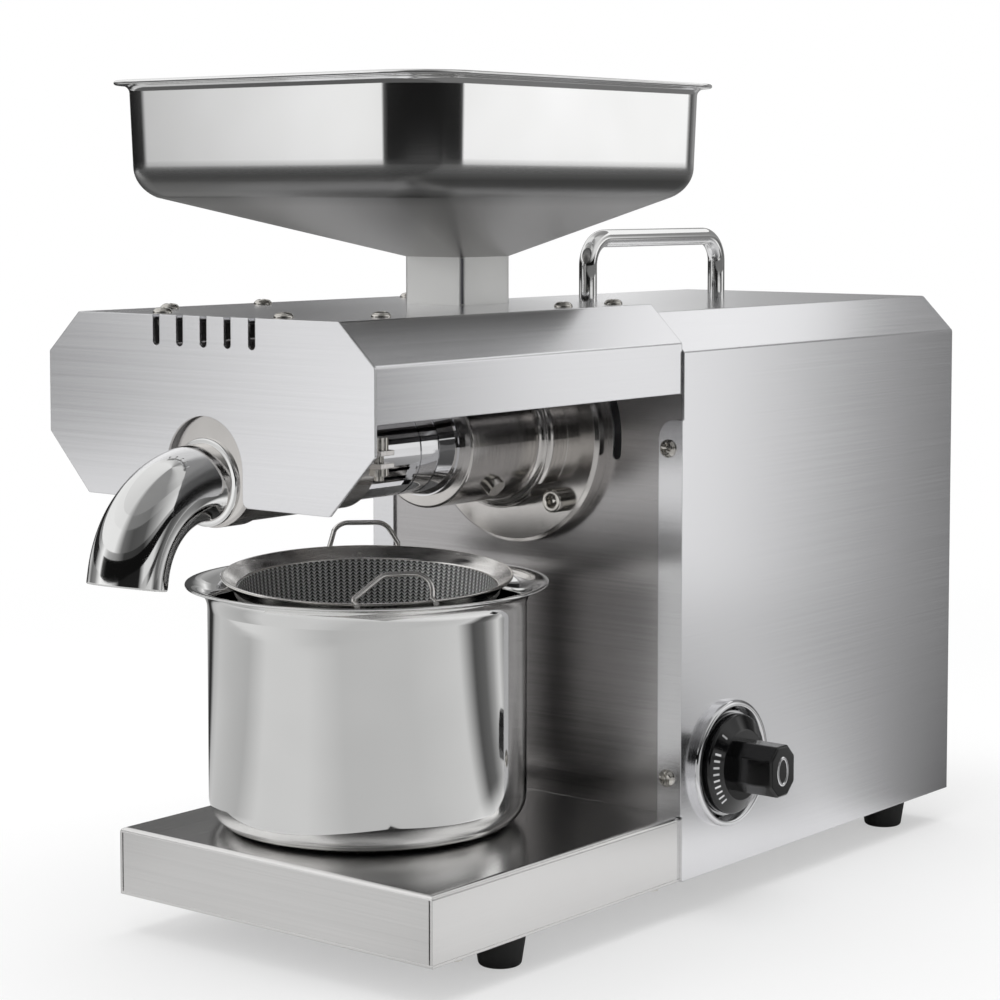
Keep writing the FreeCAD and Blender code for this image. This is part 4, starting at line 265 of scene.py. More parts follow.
FINISHES = {
    # Level strokes: long soft highlights that melt into each other, as on the tray and covers
    "brushed_stainless": brushed("brushed stainless sheet", "#e3e2e1", "#ebeae9", 0.21, STROKE, 0.0016),
    # A finer belt: the same highlights with hardly a line to be seen
    "satin_stainless": brushed("fine satin stainless sheet", "#ebebed", "#f3f3f5", 0.20, FINE_STROKE, 0.0008),
    # Clear dark and bright reflections, bent a little by the waves of the buffing wheel
    "polished_stainless": polished("mirror polished stainless", "#ececeb", "#f6f6f5", 0.045),
    # Even pale grey without any reflection to make out
    "bead_blasted_stainless": blasted("bead blasted stainless", "#e8e8e6", 0.4, 0.5, 0.015),
    # Reflections drawn out along the barrel, with a warm grey tone
    "turned_steel": turned_metal("turned steel", "#cdcac7", "#e2dfdc", 0.17, TURNED_RINGS),
    # A hard bright mirror, a touch darker and bluer than the stainless
    "bright_chrome": polished("bright chrome plate", "#d9d9da", "#ececee", 0.05, 0.02),
    # Small warm glints
    "nickel_screws": polished("nickel plated screws", "#c6c3bd", "#dcd9d3", 0.14, 0.02),
    # Dark grey with a dull streak of light
    "alloy_steel": turned_metal("ground alloy steel", "#77777a", "#94949a", 0.30, GROUND_RINGS),
    # Dark gaps between bright wires: painted shade in the gaps and painted highlight on the wires
    "woven_stainless": woven("woven stainless wire"),
    # Reflections with soft edges, duller than those in the pot
    "strainer_steel": polished("polished strainer rim", "#e8e6e3", "#f4f2ef", 0.18),
    # The rough matt grey of a sand mould
    "cast_aluminium": blasted("cast aluminium", "#a8a8aa", 0.5, 1.2, 0.08),
    # Black with a soft sheen from its clear coat
    "painted_can": moulded("black enamel", "#17181a", 0.35, 0.8, 0.01, 0.3),
    # Dull black that shows no reflection
    "black_rubber": moulded("black rubber", "#141414", 0.62, 0.4, 0.02),
    # Deep black with sharp glints on its edges
    "black_phenolic": moulded("glossy black phenolic", "#050506", 0.14, 0.8, 0.002, 0.3),
    # Black with the grey bloom of a fine mould texture
    "black_nylon": moulded("matt black nylon", "#121214", 0.48, 0.35, 0.02),
    # Clear red with a wet gloss
    "red_rocker": moulded("red rocker plastic", "#a01414", 0.24, 0.6, 0.004, 0.3),
    # Cream, smooth and unglazed
    "ceramic": moulded("fired ceramic", "#e8e2d6", 0.4, 0.6, 0.01),
    # Mid grey with faint rings round the stem
    "stem_steel": turned_metal("plated stem", "#9c9c9a", "#bdbdba", 0.3, STEM_RINGS),
    # Green lacquer with a low gloss
    "board_laminate": moulded("epoxy board", "#1d5a33", 0.35, 0.5, 0.01),
    # Yellow metal with blurred reflections
    "brass_standoff": polished("plain brass", "#a8873c", "#c8a450", 0.22, 0.01),
}

SLOT_OF = {entry["node"]: entry["material_slot"] for entry in frame["record"]["subparts"]}
for node_name, thing in frame["nodes"].items():
    thing.data.materials.clear()
    thing.data.materials.append(FINISHES[SLOT_OF[node_name]])

# The panel behind the pot takes a greyer tone than the brushed covers: painted shade and dark reflection, as it
# lies under the head cover
SHADED_PANEL_SHEET = brushed("panel sheet in painted shade", "#bdbbbb", "#cac8c8", 0.25, STROKE, 0.0016)
frame["nodes"]["front_panel"].data.materials[0] = SHADED_PANEL_SHEET
# The sheets inside the head are dull, with a dark grey that is painted shade, so that the slots in its face
# look deep
SHADED_INNER_SHEET = brushed("inner sheet in painted shade", "#5c5b5b", "#6a6969", 0.4, STROKE, 0.012)
for inner in ("head_frame", "feed_chute"):
    frame["nodes"][inner].data.materials[0] = SHADED_INNER_SHEET


# Helpers for shapes

def all_round(count):
    """Angles evenly round a circle."""
    return [2 * math.pi * k / count for k in range(count)]


def quarter_turn(steps):
    """Angles up to a right angle, without their start at nought."""
    return [math.radians(90 * k / steps) for k in range(1, steps + 1)]


def rounded(corners, radii, step=10.0):
    """A closed outline in a plane, with each corner turned into an arc of its radius."""
    points = []
    for i, (corner, radius) in enumerate(zip(corners, radii)):
        here = Vector(corner)
        back = (Vector(corners[i - 1]) - here).normalized()
        ahead = (Vector(corners[(i + 1) % len(corners)]) - here).normalized()
        half = back.angle(ahead) / 2
        if radius <= 0:
            points.append(tuple(here))
            continue
        centre = here + (back + ahead).normalized() * (radius / math.sin(half))
        start = here + back * (radius / math.tan(half)) - centre
        end = here + ahead * (radius / math.tan(half)) - centre
        first = math.atan2(start.y, start.x)
        sweep = (math.atan2(end.y, end.x) - first + math.pi) % (2 * math.pi) - math.pi
        pieces = max(2, math.ceil(abs(math.degrees(sweep)) / step))
        for k in range(pieces + 1):
            angle = first + sweep * k / pieces
            points.append((centre.x + radius * math.cos(angle), centre.y + radius * math.sin(angle)))
    return points


def skin(rings, closed_along=False, cap_start=False, cap_end=False):
    """Points and faces of a surface through rings of equal count."""
    count = len(rings[0])
    points = [p for ring in rings for p in ring]
    faces = []
    last = len(rings) if closed_along else len(rings) - 1
    for i in range(last):
        j = (i + 1) % len(rings)
        for k in range(count):
            m = (k + 1) % count
            faces.append((i * count + k, i * count + m, j * count + m, j * count + k))
    if cap_start:
        faces.append(tuple(range(count)))
    if cap_end:
        faces.append(tuple(range((len(rings) - 1) * count, len(rings) * count)))
    return points, faces


def joined(*parts):
    """Several shapes as one set of points and faces."""
    points, faces = [], []
    for more_points, more_faces in parts:
        base = len(points)
        points += list(more_points)
        faces += [tuple(base + i for i in face) for face in more_faces]
    return points, faces


def moved(part, matrix):
    """A shape put in its place by a matrix."""
    return [tuple(matrix @ Vector(p)) for p in part[0]], part[1]


def turned(outline, axis, centre, around=120):
    """Points and faces of an outline of (radius, height) turned round an axis through the centre."""
    rings = []
    for radius, height in outline:
        ring = []
        for angle in all_round(around):
            a, b = max(radius, 0.001) * math.cos(angle), max(radius, 0.001) * math.sin(angle)
            spot = {"X": (height, a, b), "Y": (a, height, b), "Z": (a, b, height)}[axis]
            ring.append(tuple(spot[i] + centre[i] for i in range(3)))
        rings.append(ring)
    return skin(rings, closed_along=True)


def tube(path, radius, around=20):
    """A round rod along points, kept square to its path and closed at both ends."""
    rings = []
    side = (path[1] - path[0]).normalized().orthogonal().normalized()
    for i, here in enumerate(path):
        ahead = (path[min(i + 1, len(path) - 1)] - path[max(i - 1, 0)]).normalized()
        side = (side - ahead * side.dot(ahead)).normalized()
        other = ahead.cross(side)
        rings.append([tuple(here + side * radius * math.cos(angle) + other * radius * math.sin(angle))
                      for angle in all_round(around)])
    return skin(rings, cap_start=True, cap_end=True)


def bent_path(corners, bend, steps=8):
    """A path through corners, each inner one turned into an arc."""
    path = [corners[0]]
    for before, here, after in zip(corners, corners[1:], corners[2:]):
        back = (before - here).normalized()
        ahead = (after - here).normalized()
        half = back.angle(ahead) / 2
        reach = bend / math.tan(half)
        centre = here + (back + ahead).normalized() * (bend / math.sin(half))
        start = here + back * reach - centre
        end = here + ahead * reach - centre
        for k in range(steps + 1):
            t = k / steps
            whole = start.angle(end)
            share = (start * math.sin((1 - t) * whole) + end * math.sin(t * whole)) / math.sin(whole)
            path.append(centre + share)
    path.append(corners[-1])
    return path


def piece(name, part, finish, body, stands_for=(), sharp=35.0, wrap=None):
    """A mesh object in metres that rides on a body and takes the finish of a slot.

    wrap is a function that unrolls a point to (round, down), and the length of a whole turn.
    """
    points, faces = part
    mesh = bpy.data.meshes.new(name)
    mesh.from_pydata([(x * MM, y * MM, z * MM) for x, y, z in points], [], faces)
    sheet = bmesh.new()
    sheet.from_mesh(mesh)
    bmesh.ops.remove_doubles(sheet, verts=sheet.verts, dist=0.003 * MM)
    bmesh.ops.recalc_face_normals(sheet, faces=sheet.faces)
    for face in sheet.faces:
        face.smooth = True
    if wrap:
        unroll, turn = wrap
        layer = sheet.loops.layers.uv.new("wrap")
        for face in sheet.faces:
            places = [unroll(loop.vert.co / MM) for loop in face.loops]
            over_seam = max(p[0] for p in places) - min(p[0] for p in places) > turn / 2
            for loop, (u, v) in zip(face.loops, places):
                loop[layer].uv = ((u + turn if over_seam and u < turn / 2 else u) * MM, v * MM)
    sheet.to_mesh(mesh)
    sheet.free()
    mesh.set_sharp_from_angle(angle=math.radians(sharp))
    mesh.materials.append(FINISHES[finish])
    thing = bpy.data.objects.new(name, mesh)
    bpy.context.scene.collection.objects.link(thing)
    thing.modifiers.new("even shading", "WEIGHTED_NORMAL").keep_sharp = True
    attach(thing, body)
    if stands_for:
        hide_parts(*stands_for)
    return thing


# Hopper and its neck

HOPPER_HALF = (84.2, 93.1)
HOPPER_MIDDLE = -100.7
HOPPER_CORNER = 22.0
FUNNEL_FOOT = 276.0
FUNNEL_SLOPE = 64.0
KNEE_TOP = 313.0
KNEE_BEND = 14.0
WALL_LEAN = 1.0
COVE_OUTSIDE, COVE_INSIDE = 3.0, 2.4
EDGE_REACH, EDGE_RADIUS = 4.3, 0.9
NECK_HALF = 15.75
NECK_CORNER = 2.0
NECK_MIDDLE, NECK_FOOT = 254.0, 232.0
SEAM_INSET, SEAM_RADIUS, SEAM_ENDS = 0.5, 0.62, (257.0, 275.6)


def square_ring(middle_y, half_x, half_y, radius, z, steps=12):
    """A rounded rectangle level at z, with the same number of points whatever its size."""
    ring = []
    for quarter, (sx, sy) in enumerate(((1, 1), (-1, 1), (-1, -1), (1, -1))):
        for k in range(steps + 1):
            angle = math.radians(90 * quarter + 90 * k / steps)
            x = sx * (half_x - radius) + radius * math.cos(angle)
            y = sy * (half_y - radius) + radius * math.sin(angle)
            ring.append((x, middle_y + y, z))
    return ring


def neck_ring(depth, radius, z):
    """The neck's outline at a height, this deep in its sheet."""
    return square_ring(NECK_PLACE, NECK_HALF - depth, NECK_HALF - depth, radius, z)


def hopper_ring(inset, z):
    """The bowl's outline at a height, this far in from the top of its walls."""
    return square_ring(
        HOPPER_MIDDLE, HOPPER_HALF[0] - inset, HOPPER_HALF[1] - inset, HOPPER_CORNER - inset / 2, z)


def hopper_side(depth, top):
    """Rings from the neck up to the top of the wall, on the skin that lies this deep in the sheet."""
    knee = KNEE_BEND - depth
    rings = [neck_ring(depth, NECK_CORNER, FUNNEL_FOOT + depth)]
    for k in range(13):
        angle = math.radians(FUNNEL_SLOPE * (1 - k / 12))
        inset = KNEE_BEND + WALL_LEAN - knee * math.cos(angle)
        rings.append(hopper_ring(inset, KNEE_TOP - knee * math.sin(angle)))
    for k in range(1, 4):
        rings.append(hopper_ring(WALL_LEAN * (1 - k / 3) + depth, KNEE_TOP + (top - KNEE_TOP) * k / 3))
    return rings


def cove(inset, bend, foot):
    """Rings that curve outward from a wall at this inset and height."""
    return [hopper_ring(inset - bend * (1 - math.cos(angle)), foot + bend * math.sin(angle))
            for angle in quarter_turn(6)]


def hopper():
    """The funnel, its walls and the rim that coves out to a rounded edge, outside and then inside."""
    outside_top = PRESS_TOP - 2 * EDGE_RADIUS - COVE_OUTSIDE
    outside = hopper_side(0.0, outside_top) + cove(0.0, COVE_OUTSIDE, outside_top)
    for k in range(9):
        angle = math.radians(-90 + 180 * k / 8)
        inset = -EDGE_REACH - EDGE_RADIUS * math.cos(angle)
        outside.append(hopper_ring(inset, PRESS_TOP - EDGE_RADIUS + EDGE_RADIUS * math.sin(angle)))
    inside_top = PRESS_TOP - COVE_INSIDE
    inside = hopper_side(SHEET, inside_top) + cove(SHEET, COVE_INSIDE, inside_top)
    return skin(outside + inside[::-1], closed_along=True)


def hopper_neck():
    """The square tube under the funnel."""
    outside = [neck_ring(0.0, NECK_CORNER, z) for z in (FUNNEL_FOOT, NECK_MIDDLE, NECK_FOOT)]
    inside = [neck_ring(SHEET, NECK_CORNER - SHEET, z) for z in (NECK_FOOT, FUNNEL_FOOT)]
    return skin(outside + inside, closed_along=True)


def neck_seam():
    """The dark line of the weld down the neck's front corner."""
    out = NECK_HALF - SEAM_INSET
    return tube([Vector((out, NECK_PLACE - out, z)) for z in SEAM_ENDS], SEAM_RADIUS, 12)


bowl = piece("hopper_bowl", hopper(), "polished_stainless", "hopper_body", ["hopper"], sharp=50.0)
bowl.data.materials[0] = spun_bowl("polished hopper sheet")
piece("hopper_neck_tube", hopper_neck(), "bead_blasted_stainless", "hopper_body", ["hopper_neck"])
piece("hopper_neck_seam", neck_seam(), "alloy_steel", "hopper_body")


# Outlet elbow

ELBOW_HEIGHT = 194.0
ELBOW_BEND = 36.5
ELBOW_SWEEP = math.radians(80)
ELBOW_TAIL = 5.0
ELBOW_OUTSIDE, ELBOW_BORE, ELBOW_LIP = 14.8, 13.3, 0.7
ELBOW_START = -227.0
RING_FRONT, RING_BACK, RING_RADIUS = -224.3, -221.3, 16.8
STOP_FRONT, STOP_BACK, STOP_RADIUS = -216.9, -215.6, 16.0


def elbow():
    """The root with its ring, then the thin tube through the bend to a rounded end, outside and inside."""
    root = turned(rounded([
        (ELBOW_BORE, ELBOW_START), (ELBOW_OUTSIDE, ELBOW_START), (ELBOW_OUTSIDE, RING_FRONT),
        (RING_RADIUS, RING_FRONT), (RING_RADIUS, RING_BACK), (ELBOW_OUTSIDE, RING_BACK),
        (ELBOW_OUTSIDE, STOP_FRONT), (STOP_RADIUS, STOP_FRONT), (STOP_RADIUS, STOP_BACK),
        (ELBOW_BORE, STOP_BACK),
    ], [0, 0, 0.2, 0.8, 0.8, 0.2, 0, 0, 0, 0]), "Y", (0, 0, ELBOW_HEIGHT))
    path = []
    for k in range(41):
        angle = ELBOW_SWEEP * k / 40
        y = ELBOW_START - ELBOW_BEND * math.sin(angle)
        z = ELBOW_HEIGHT - ELBOW_BEND + ELBOW_BEND * math.cos(angle)
        path.append((Vector((0, y, z)), angle))
    ahead = Vector((0, -math.cos(ELBOW_SWEEP), -math.sin(ELBOW_SWEEP)))
    path.append((path[-1][0] + ahead * (ELBOW_TAIL - ELBOW_LIP), ELBOW_SWEEP))

    def ring(spot, angle, radius):
        up = Vector((0, -math.sin(angle), math.cos(angle)))
        return [tuple(spot + Vector((1, 0, 0)) * radius * math.cos(a) + up * radius * math.sin(a))
                for a in all_round(72)]

    rings = [ring(spot, angle, ELBOW_OUTSIDE) for spot, angle in path]
    for k in range(7):
        turn = math.pi * k / 6
        radius = ELBOW_OUTSIDE - ELBOW_LIP + ELBOW_LIP * math.cos(turn)
        rings.append(ring(path[-1][0] + ahead * ELBOW_LIP * math.sin(turn), ELBOW_SWEEP, radius))
    rings += [ring(spot, angle, ELBOW_BORE) for spot, angle in reversed(path)]
    return joined(root, skin(rings, closed_along=True))


pipe = piece("outlet_elbow_tube", elbow(), "polished_stainless", "outlet", ["outlet_elbow"], sharp=50.0)
# In the photograph the face plate mirrors nothing of the elbow, so shiny surfaces don't see it
pipe.visible_glossy = False


# Oil pot

POT_RADIUS = 65.5
POT_RIM = 74.7
POT_TOP = 143.5
POT_FOOT_BEND = 12.0
POT_FLARE_BEND = 10.0
POT_EDGE = 0.4


def oil_pot():
    """A pot pressed from one sheet, with a rounded foot and a rim that flares out."""
    inside, floor_top, under_rim = POT_RADIUS - SHEET, TRAY_TOP + SHEET, POT_TOP - SHEET
    outline = rounded([
        (0, TRAY_TOP), (POT_RADIUS, TRAY_TOP), (POT_RADIUS, under_rim), (POT_RIM, under_rim),
        (POT_RIM, POT_TOP), (inside, POT_TOP), (inside, floor_top), (0, floor_top),
    ], [
        0, POT_FOOT_BEND, POT_FLARE_BEND - SHEET, POT_EDGE,
        POT_EDGE, POT_FLARE_BEND, POT_FOOT_BEND - SHEET, 0,
    ], 5.0)
    return turned(outline, "Z", (*POT_PLACE, 0), 180)


piece("oil_pot_bowl", oil_pot(), "polished_stainless", "pot", ["oil_pot"], sharp=50.0)


# Strainer that stands in the pot, turned and tipped a little

STRAINER_HEIGHT = 146.6
STRAINER_TURN = math.radians(44.0)
STRAINER_TIP = math.radians(3.3)
STRAINER_RIM = 60.0
STRAINER_MOUTH = 53.5
RIM_SLOPE_FOOT, RIM_COLLAR = 4.6, 8.0
BASKET_MOUTH, BASKET_FOOT = 53.45, 49.45
BASKET_TOP, BASKET_DEPTH = 5.1, 49.1
BASKET_BEND = 12.0
CLOTH = 0.6
CLOTH_MEAN, CLOTH_FLOOR_EDGE, CLOTH_WALL = 51.0, 40.0, 48.0
LOOP_WIRE = 1.1
LOOP_HALF = 15.5
LOOP_RADIUS = 61.15
LOOP_FOOT = 8.0
LOOP_KNEE = 1.0
LOOP_TOP_HALF, LOOP_TOP = 10.0, 10.0
LOOP_BEND, LOOP_FOOT_BEND = 7.0, 1.5
LOOP_PLAY = 0.6
FLARE_CENTRE, FLARE_RADIUS = (74.7, 133.3), 10.2

STRAINER = (
    Matrix.Translation((*POT_PLACE, STRAINER_HEIGHT))
    @ Matrix.Rotation(STRAINER_TURN, 4, "Z")
    @ Matrix.Rotation(STRAINER_TIP, 4, "X")
)


def strainer_rim():
    """The sloping ring of sheet and the short collar that holds the cloth."""
    outside = STRAINER_MOUTH + SHEET
    outline = rounded([
        (STRAINER_MOUTH, -RIM_SLOPE_FOOT), (STRAINER_MOUTH, -RIM_COLLAR), (outside, -RIM_COLLAR),
        (outside, -RIM_SLOPE_FOOT - SHEET), (STRAINER_RIM, -SHEET), (STRAINER_RIM, 0),
        (STRAINER_RIM - SHEET, 0),
    ], [1.2, 0.3, 0.3, 0.8, 0.4, 0.4, 0.2], 20.0)
    return moved(turned(outline, "Z", (0, 0, 0), 160), STRAINER)


def unroll_basket(spot):
    """Where a point of the cloth lies round the basket and down it, with the floor going on from the wall."""
    local = STRAINER.inverted() @ spot
    round_it = (math.atan2(local.y, local.x) + math.pi) * CLOTH_MEAN
    narrower = CLOTH_MEAN - math.hypot(local.x, local.y)
    if narrower < CLOTH_MEAN - CLOTH_FLOOR_EDGE:
        return round_it, local.z + narrower
    return round_it, -narrower - CLOTH_WALL


def strainer_basket():
    """A tapered cup of wire cloth with a rounded foot."""
    inside_depth = BASKET_DEPTH - CLOTH
    outline = rounded([
        (0, -BASKET_DEPTH), (BASKET_FOOT, -BASKET_DEPTH), (BASKET_MOUTH, -BASKET_TOP),
        (BASKET_MOUTH - CLOTH, -BASKET_TOP), (BASKET_FOOT - CLOTH, -inside_depth), (0, -inside_depth),
    ], [0, BASKET_BEND, 0, 0, BASKET_BEND - CLOTH, 0], 8.0)
    return moved(turned(outline, "Z", (0, 0, 0), 144), STRAINER)


def wire_loop(side):
    """One lifting loop; the front one stands 7.5 degrees further round the rim and leans."""
    shift, lean, turn = (7.0, 6.0, 7.5) if side < 0 else (0.0, 0.0, 0.0)
    y = side * math.sqrt(LOOP_RADIUS ** 2 - LOOP_HALF ** 2)
    out = y + side * LOOP_FOOT
    reach = FLARE_CENTRE[0] - math.hypot(out, LOOP_HALF)
    flare = FLARE_CENTRE[1] + math.sqrt(FLARE_RADIUS ** 2 - reach ** 2)
    foot = flare + LOOP_WIRE + LOOP_PLAY - STRAINER_HEIGHT - out * math.sin(STRAINER_TIP)
    corners = [
        (-LOOP_HALF, out, foot), (-LOOP_HALF, y, foot), (-LOOP_HALF, y, LOOP_KNEE),
        (shift - LOOP_TOP_HALF, y + lean, LOOP_TOP), (shift + LOOP_TOP_HALF, y + lean, LOOP_TOP),
        (LOOP_HALF, y, LOOP_KNEE), (LOOP_HALF, y, foot), (LOOP_HALF, out, foot),
    ]
    corners = [Vector(corner) for corner in corners]
    first_foot = bent_path(corners[:3], LOOP_FOOT_BEND)[:-1]
    arch = bent_path(corners[2:6], LOOP_BEND)[1:-1]
    second_foot = bent_path(corners[5:], LOOP_FOOT_BEND)
    place = STRAINER @ Matrix.Rotation(math.radians(turn), 4, "Z")
    return moved(tube(first_foot + arch + second_foot, LOOP_WIRE, 16), place)


piece("strainer_rim_ring", strainer_rim(), "strainer_steel", "strainer", ["strainer_frame"])
piece("strainer_basket", strainer_basket(), "woven_stainless", "strainer", ["strainer_mesh"],
      wrap=(unroll_basket, 2 * math.pi * CLOTH_MEAN))
loops = joined(wire_loop(-1), wire_loop(1))
piece("strainer_loops", loops, "strainer_steel", "strainer", ["strainer_handles"])


# Screws and bolts

STRIP_SCREW_SIDE = 78.0
STRIP_SCREW_HEIGHTS = (15.5, 153.5)
STRIP_THICKNESS = 1.2
ROOF_SCREWS = [
    (-32, -214), (32, -214), (-56, -187), (-56, -42), (56, -187), (56, -42), (-56, -134), (56, -76),
]
INLET_SCREWS, INLET_HEIGHT, INLET_LIP = (25.0, 65.0), 78.0, 0.8
M4_SCREW = {"radius": 3.8, "height": 2.2, "shank": 2.0, "length": 4.8}
M3_SCREW = {"radius": 2.7, "height": 1.7, "shank": 1.5, "length": 6.2}
BOLT_CIRCLE = 37.5
BOLT_HEAD, BOLT_HEAD_HEIGHT, BOLT_EDGE = 5.0, 6.0, 0.8
BOLT_SHANK, BOLT_LENGTH = 3.0, 15.9
BOLT_SOCKET, BOLT_SOCKET_FLOOR = 5.0, 3.0


def screw_frame(seat, direction):
    """A matrix whose Z runs out of the head, away from the screw's direction."""
    out = -Vector(direction)
    side = out.orthogonal().normalized()
    matrix = Matrix((side, out.cross(side), out)).transposed().to_4x4()
    return Matrix.Translation(Vector(seat)) @ matrix


def pan_head(radius, height, shank, length):
    """A domed head with a cross recess, on a plain shank; the head stands on Z = 0."""
    arm, reach, deep = radius * 0.15, radius * 0.62, height * 0.6
    shoulder, crown = 0.55, radius - 0.25 * height
    rings = []
    for angle in [0.0] + quarter_turn(6):
        edge = radius - 0.25 * height * (1 - math.cos(angle))
        rings.append([(edge * math.cos(a), edge * math.sin(a), height * shoulder * math.sin(angle))
                      for a in all_round(64)])
    for k in range(1, 26):
        r = crown * (1 - k / 25) + 0.001
        dome = height * (shoulder + (1 - shoulder) * math.sqrt(max(0.0, 1 - (r / crown) ** 2)))
        recess = height - deep * (1 - 0.6 * r / reach)
        ring = []
        for a in all_round(64):
            x, y = r * math.cos(a), r * math.sin(a)
            in_cross = (abs(x) < arm and abs(y) < reach) or (abs(y) < arm and abs(x) < reach)
            ring.append((x, y, min(dome, recess) if in_cross else dome))
        rings.append(ring)
    rod = [[(shank * math.cos(a), shank * math.sin(a), z) for a in all_round(24)] for z in (0.0, -length)]
    return joined(skin(rings, cap_start=True), skin(rod, cap_end=True))


def screws_at(places, kind):
    """The same screw at every (seat, direction), each turned a little differently."""
    parts = []
    for i, (seat, direction) in enumerate(places):
        twist = Matrix.Rotation(math.radians(23 + 47 * i), 4, "Z")
        parts.append(moved(pan_head(**kind), screw_frame(seat, direction) @ twist))
    return joined(*parts)


def strip_screws():
    """The screws down the front and rear edges of the housing cover."""
    places = []
    for x in (-STRIP_SCREW_SIDE, STRIP_SCREW_SIDE):
        for up in STRIP_SCREW_HEIGHTS:
            places.append(((x, PANEL - STRIP_THICKNESS, TRAY_TOP + up), (0, 1, 0)))
            places.append(((x, REAR, TRAY_TOP + up), (0, -1, 0)))
    return screws_at(places, M4_SCREW)


def inlet_screws():
    """The two screws of the appliance inlet."""
    return screws_at([((x, REAR + INLET_LIP, INLET_HEIGHT), (0, -1, 0)) for x in INLET_SCREWS], M3_SCREW)


def roof_screws():
    """The screws in the roof of the head cover."""
    return screws_at([((x, y, HEAD_TOP), (0, 0, -1)) for x, y in ROOF_SCREWS], M4_SCREW)


def socket_bolt():
    """A cylinder head with a rounded rim, a six-sided socket and its shank."""

    def six(across_flats, z):
        ring = []
        for angle in all_round(48):
            near = (angle + math.pi / 6) % (math.pi / 3) - math.pi / 6
            r = across_flats / 2 / math.cos(near)
            ring.append((r * math.sin(angle), r * math.cos(angle), z))
        return ring

    def circle(r, z):
        return [(r * math.sin(angle), r * math.cos(angle), z) for angle in all_round(48)]

    rim, top = BOLT_HEAD_HEIGHT - BOLT_EDGE, BOLT_HEAD_HEIGHT
    rings = [circle(BOLT_SHANK, -BOLT_LENGTH), circle(BOLT_SHANK, 0.0)]
    rings += [circle(BOLT_HEAD, 0.0), circle(BOLT_HEAD, rim)]
    for angle in quarter_turn(4):
        radius = BOLT_HEAD - BOLT_EDGE + BOLT_EDGE * math.cos(angle)
        rings.append(circle(radius, rim + BOLT_EDGE * math.sin(angle)))
    rings += [circle(3.2, top), six(BOLT_SOCKET + 0.3, top - 0.15), six(BOLT_SOCKET, top - 0.5)]
    rings += [six(BOLT_SOCKET, BOLT_SOCKET_FLOOR), circle(0.3, BOLT_SOCKET_FLOOR - 0.4)]
    return skin(rings, cap_start=True, cap_end=True)


def flange_bolts():
    """Four bolts round the barrel, at 45 degrees to the level."""
    parts = []
    for quarter in range(4):
        angle = math.radians(45 + 90 * quarter)
        seat = (BOLT_CIRCLE * math.cos(angle), FLANGE, AXIS_HEIGHT + BOLT_CIRCLE * math.sin(angle))
        parts.append(moved(socket_bolt(), screw_frame(seat, (0, 1, 0))))
    return joined(*parts)


for fastened, made in (
    ("cover_screws", strip_screws()),
    ("inlet_screws", inlet_screws()),
    ("head_cover_screws", roof_screws()),
    ("flange_bolts", flange_bolts()),
):
    piece(fastened + "_looks", made, "nickel_screws", "frame", [fastened], sharp=40.0)


# Heat dial: distances along X, radii round the dial's axis

BEZEL_RADIUS, BEZEL_MOUTH = 27.0, 24.6
BEZEL_TOP, BEZEL_SEAT = 88.6, 85.8
SKIRT_BACK, SKIRT_EDGE, SKIRT_TOP = 86.1, 90.1, 93.6
SKIRT_RADIUS, SKIRT_TOP_RADIUS = 21.3, 15.0
GRIP_HALF = (9.0, 10.75)
GRIP_CORNER = 5.2
GRIP_END, GRIP_EDGE = 113.2, 0.9
OVAL_PLACE, OVAL_HALF, OVAL_WIRE = 113.1, (3.6, 5.6), (0.75, 0.4)
MARKS, FIRST_MARK, MARK_STEP = 12, 222.0, 8.8
MARK_ENDS, MARK_HALF, MARK_HEIGHT = (2.2, 5.0), 0.45, 0.12


def along_x(outline, radii):
    """An outline of (x, radius) turned round the dial's axis."""
    points = [(r, x) for x, r in rounded(outline, radii, 12.0)]
    return turned(points, "X", (0, *DIAL_PLACE), 144)


def bezel():
    """The bright cup that the dial turns in."""
    return along_x([
        (SIDE, 4.0), (SIDE, BEZEL_RADIUS), (BEZEL_TOP, BEZEL_RADIUS),
        (BEZEL_TOP, BEZEL_MOUTH), (BEZEL_SEAT, 22.3), (BEZEL_SEAT, 4.0),
    ], [0, 0, 1.6, 0.9, 0.4, 0])


def dial_skirt():
    """The cone of the dial, which carries the marks."""
    return along_x([
        (SKIRT_BACK, 3.0), (SKIRT_BACK, SKIRT_RADIUS), (SKIRT_EDGE, SKIRT_RADIUS),
        (SKIRT_TOP, SKIRT_TOP_RADIUS), (SKIRT_TOP, 3.0),
    ], [0, 0.4, 1.6, 1.2, 0])


def octagon(x, inset):
    """The grip's eight-sided outline with softened corners."""
    half_y, half_z = GRIP_HALF[0] - inset, GRIP_HALF[1] - inset
    corner = GRIP_CORNER - inset * 0.6
    right = [
        (half_y - corner, -half_z), (half_y, corner - half_z),
        (half_y, half_z - corner), (half_y - corner, half_z),
    ]
    flat = rounded(right + [(-a, -b) for a, b in right], [1.2] * 8, 15.0)
    return [(x, DIAL_PLACE[0] + a, DIAL_PLACE[1] + b) for a, b in flat]


def dial_grip():
    """The eight-sided grip with a rounded end."""
    straight = GRIP_END - GRIP_EDGE
    rings = [octagon(SKIRT_EDGE, 0.0), octagon(straight, 0.0)]
    for angle in quarter_turn(4):
        rings.append(octagon(straight + GRIP_EDGE * math.sin(angle), GRIP_EDGE * (1 - math.cos(angle))))
    rings.append(octagon(GRIP_END, 1.6))
    return skin(rings, cap_start=True, cap_end=True)


def oval_ring():
    """The bright ring let into the end of the grip."""
    rings = []
    y, z = DIAL_PLACE
    for angle in all_round(48):
        across, up = OVAL_HALF[0] * math.sin(angle), OVAL_HALF[1] * math.cos(angle)
        middle = Vector((OVAL_PLACE, y + across, z + up))
        out = Vector((0, math.sin(angle), math.cos(angle)))
        rings.append([
            tuple(middle + out * OVAL_WIRE[0] * math.cos(a) + Vector((1, 0, 0)) * OVAL_WIRE[1] * math.sin(a))
            for a in all_round(12)
        ])
    return skin(rings, closed_along=True)


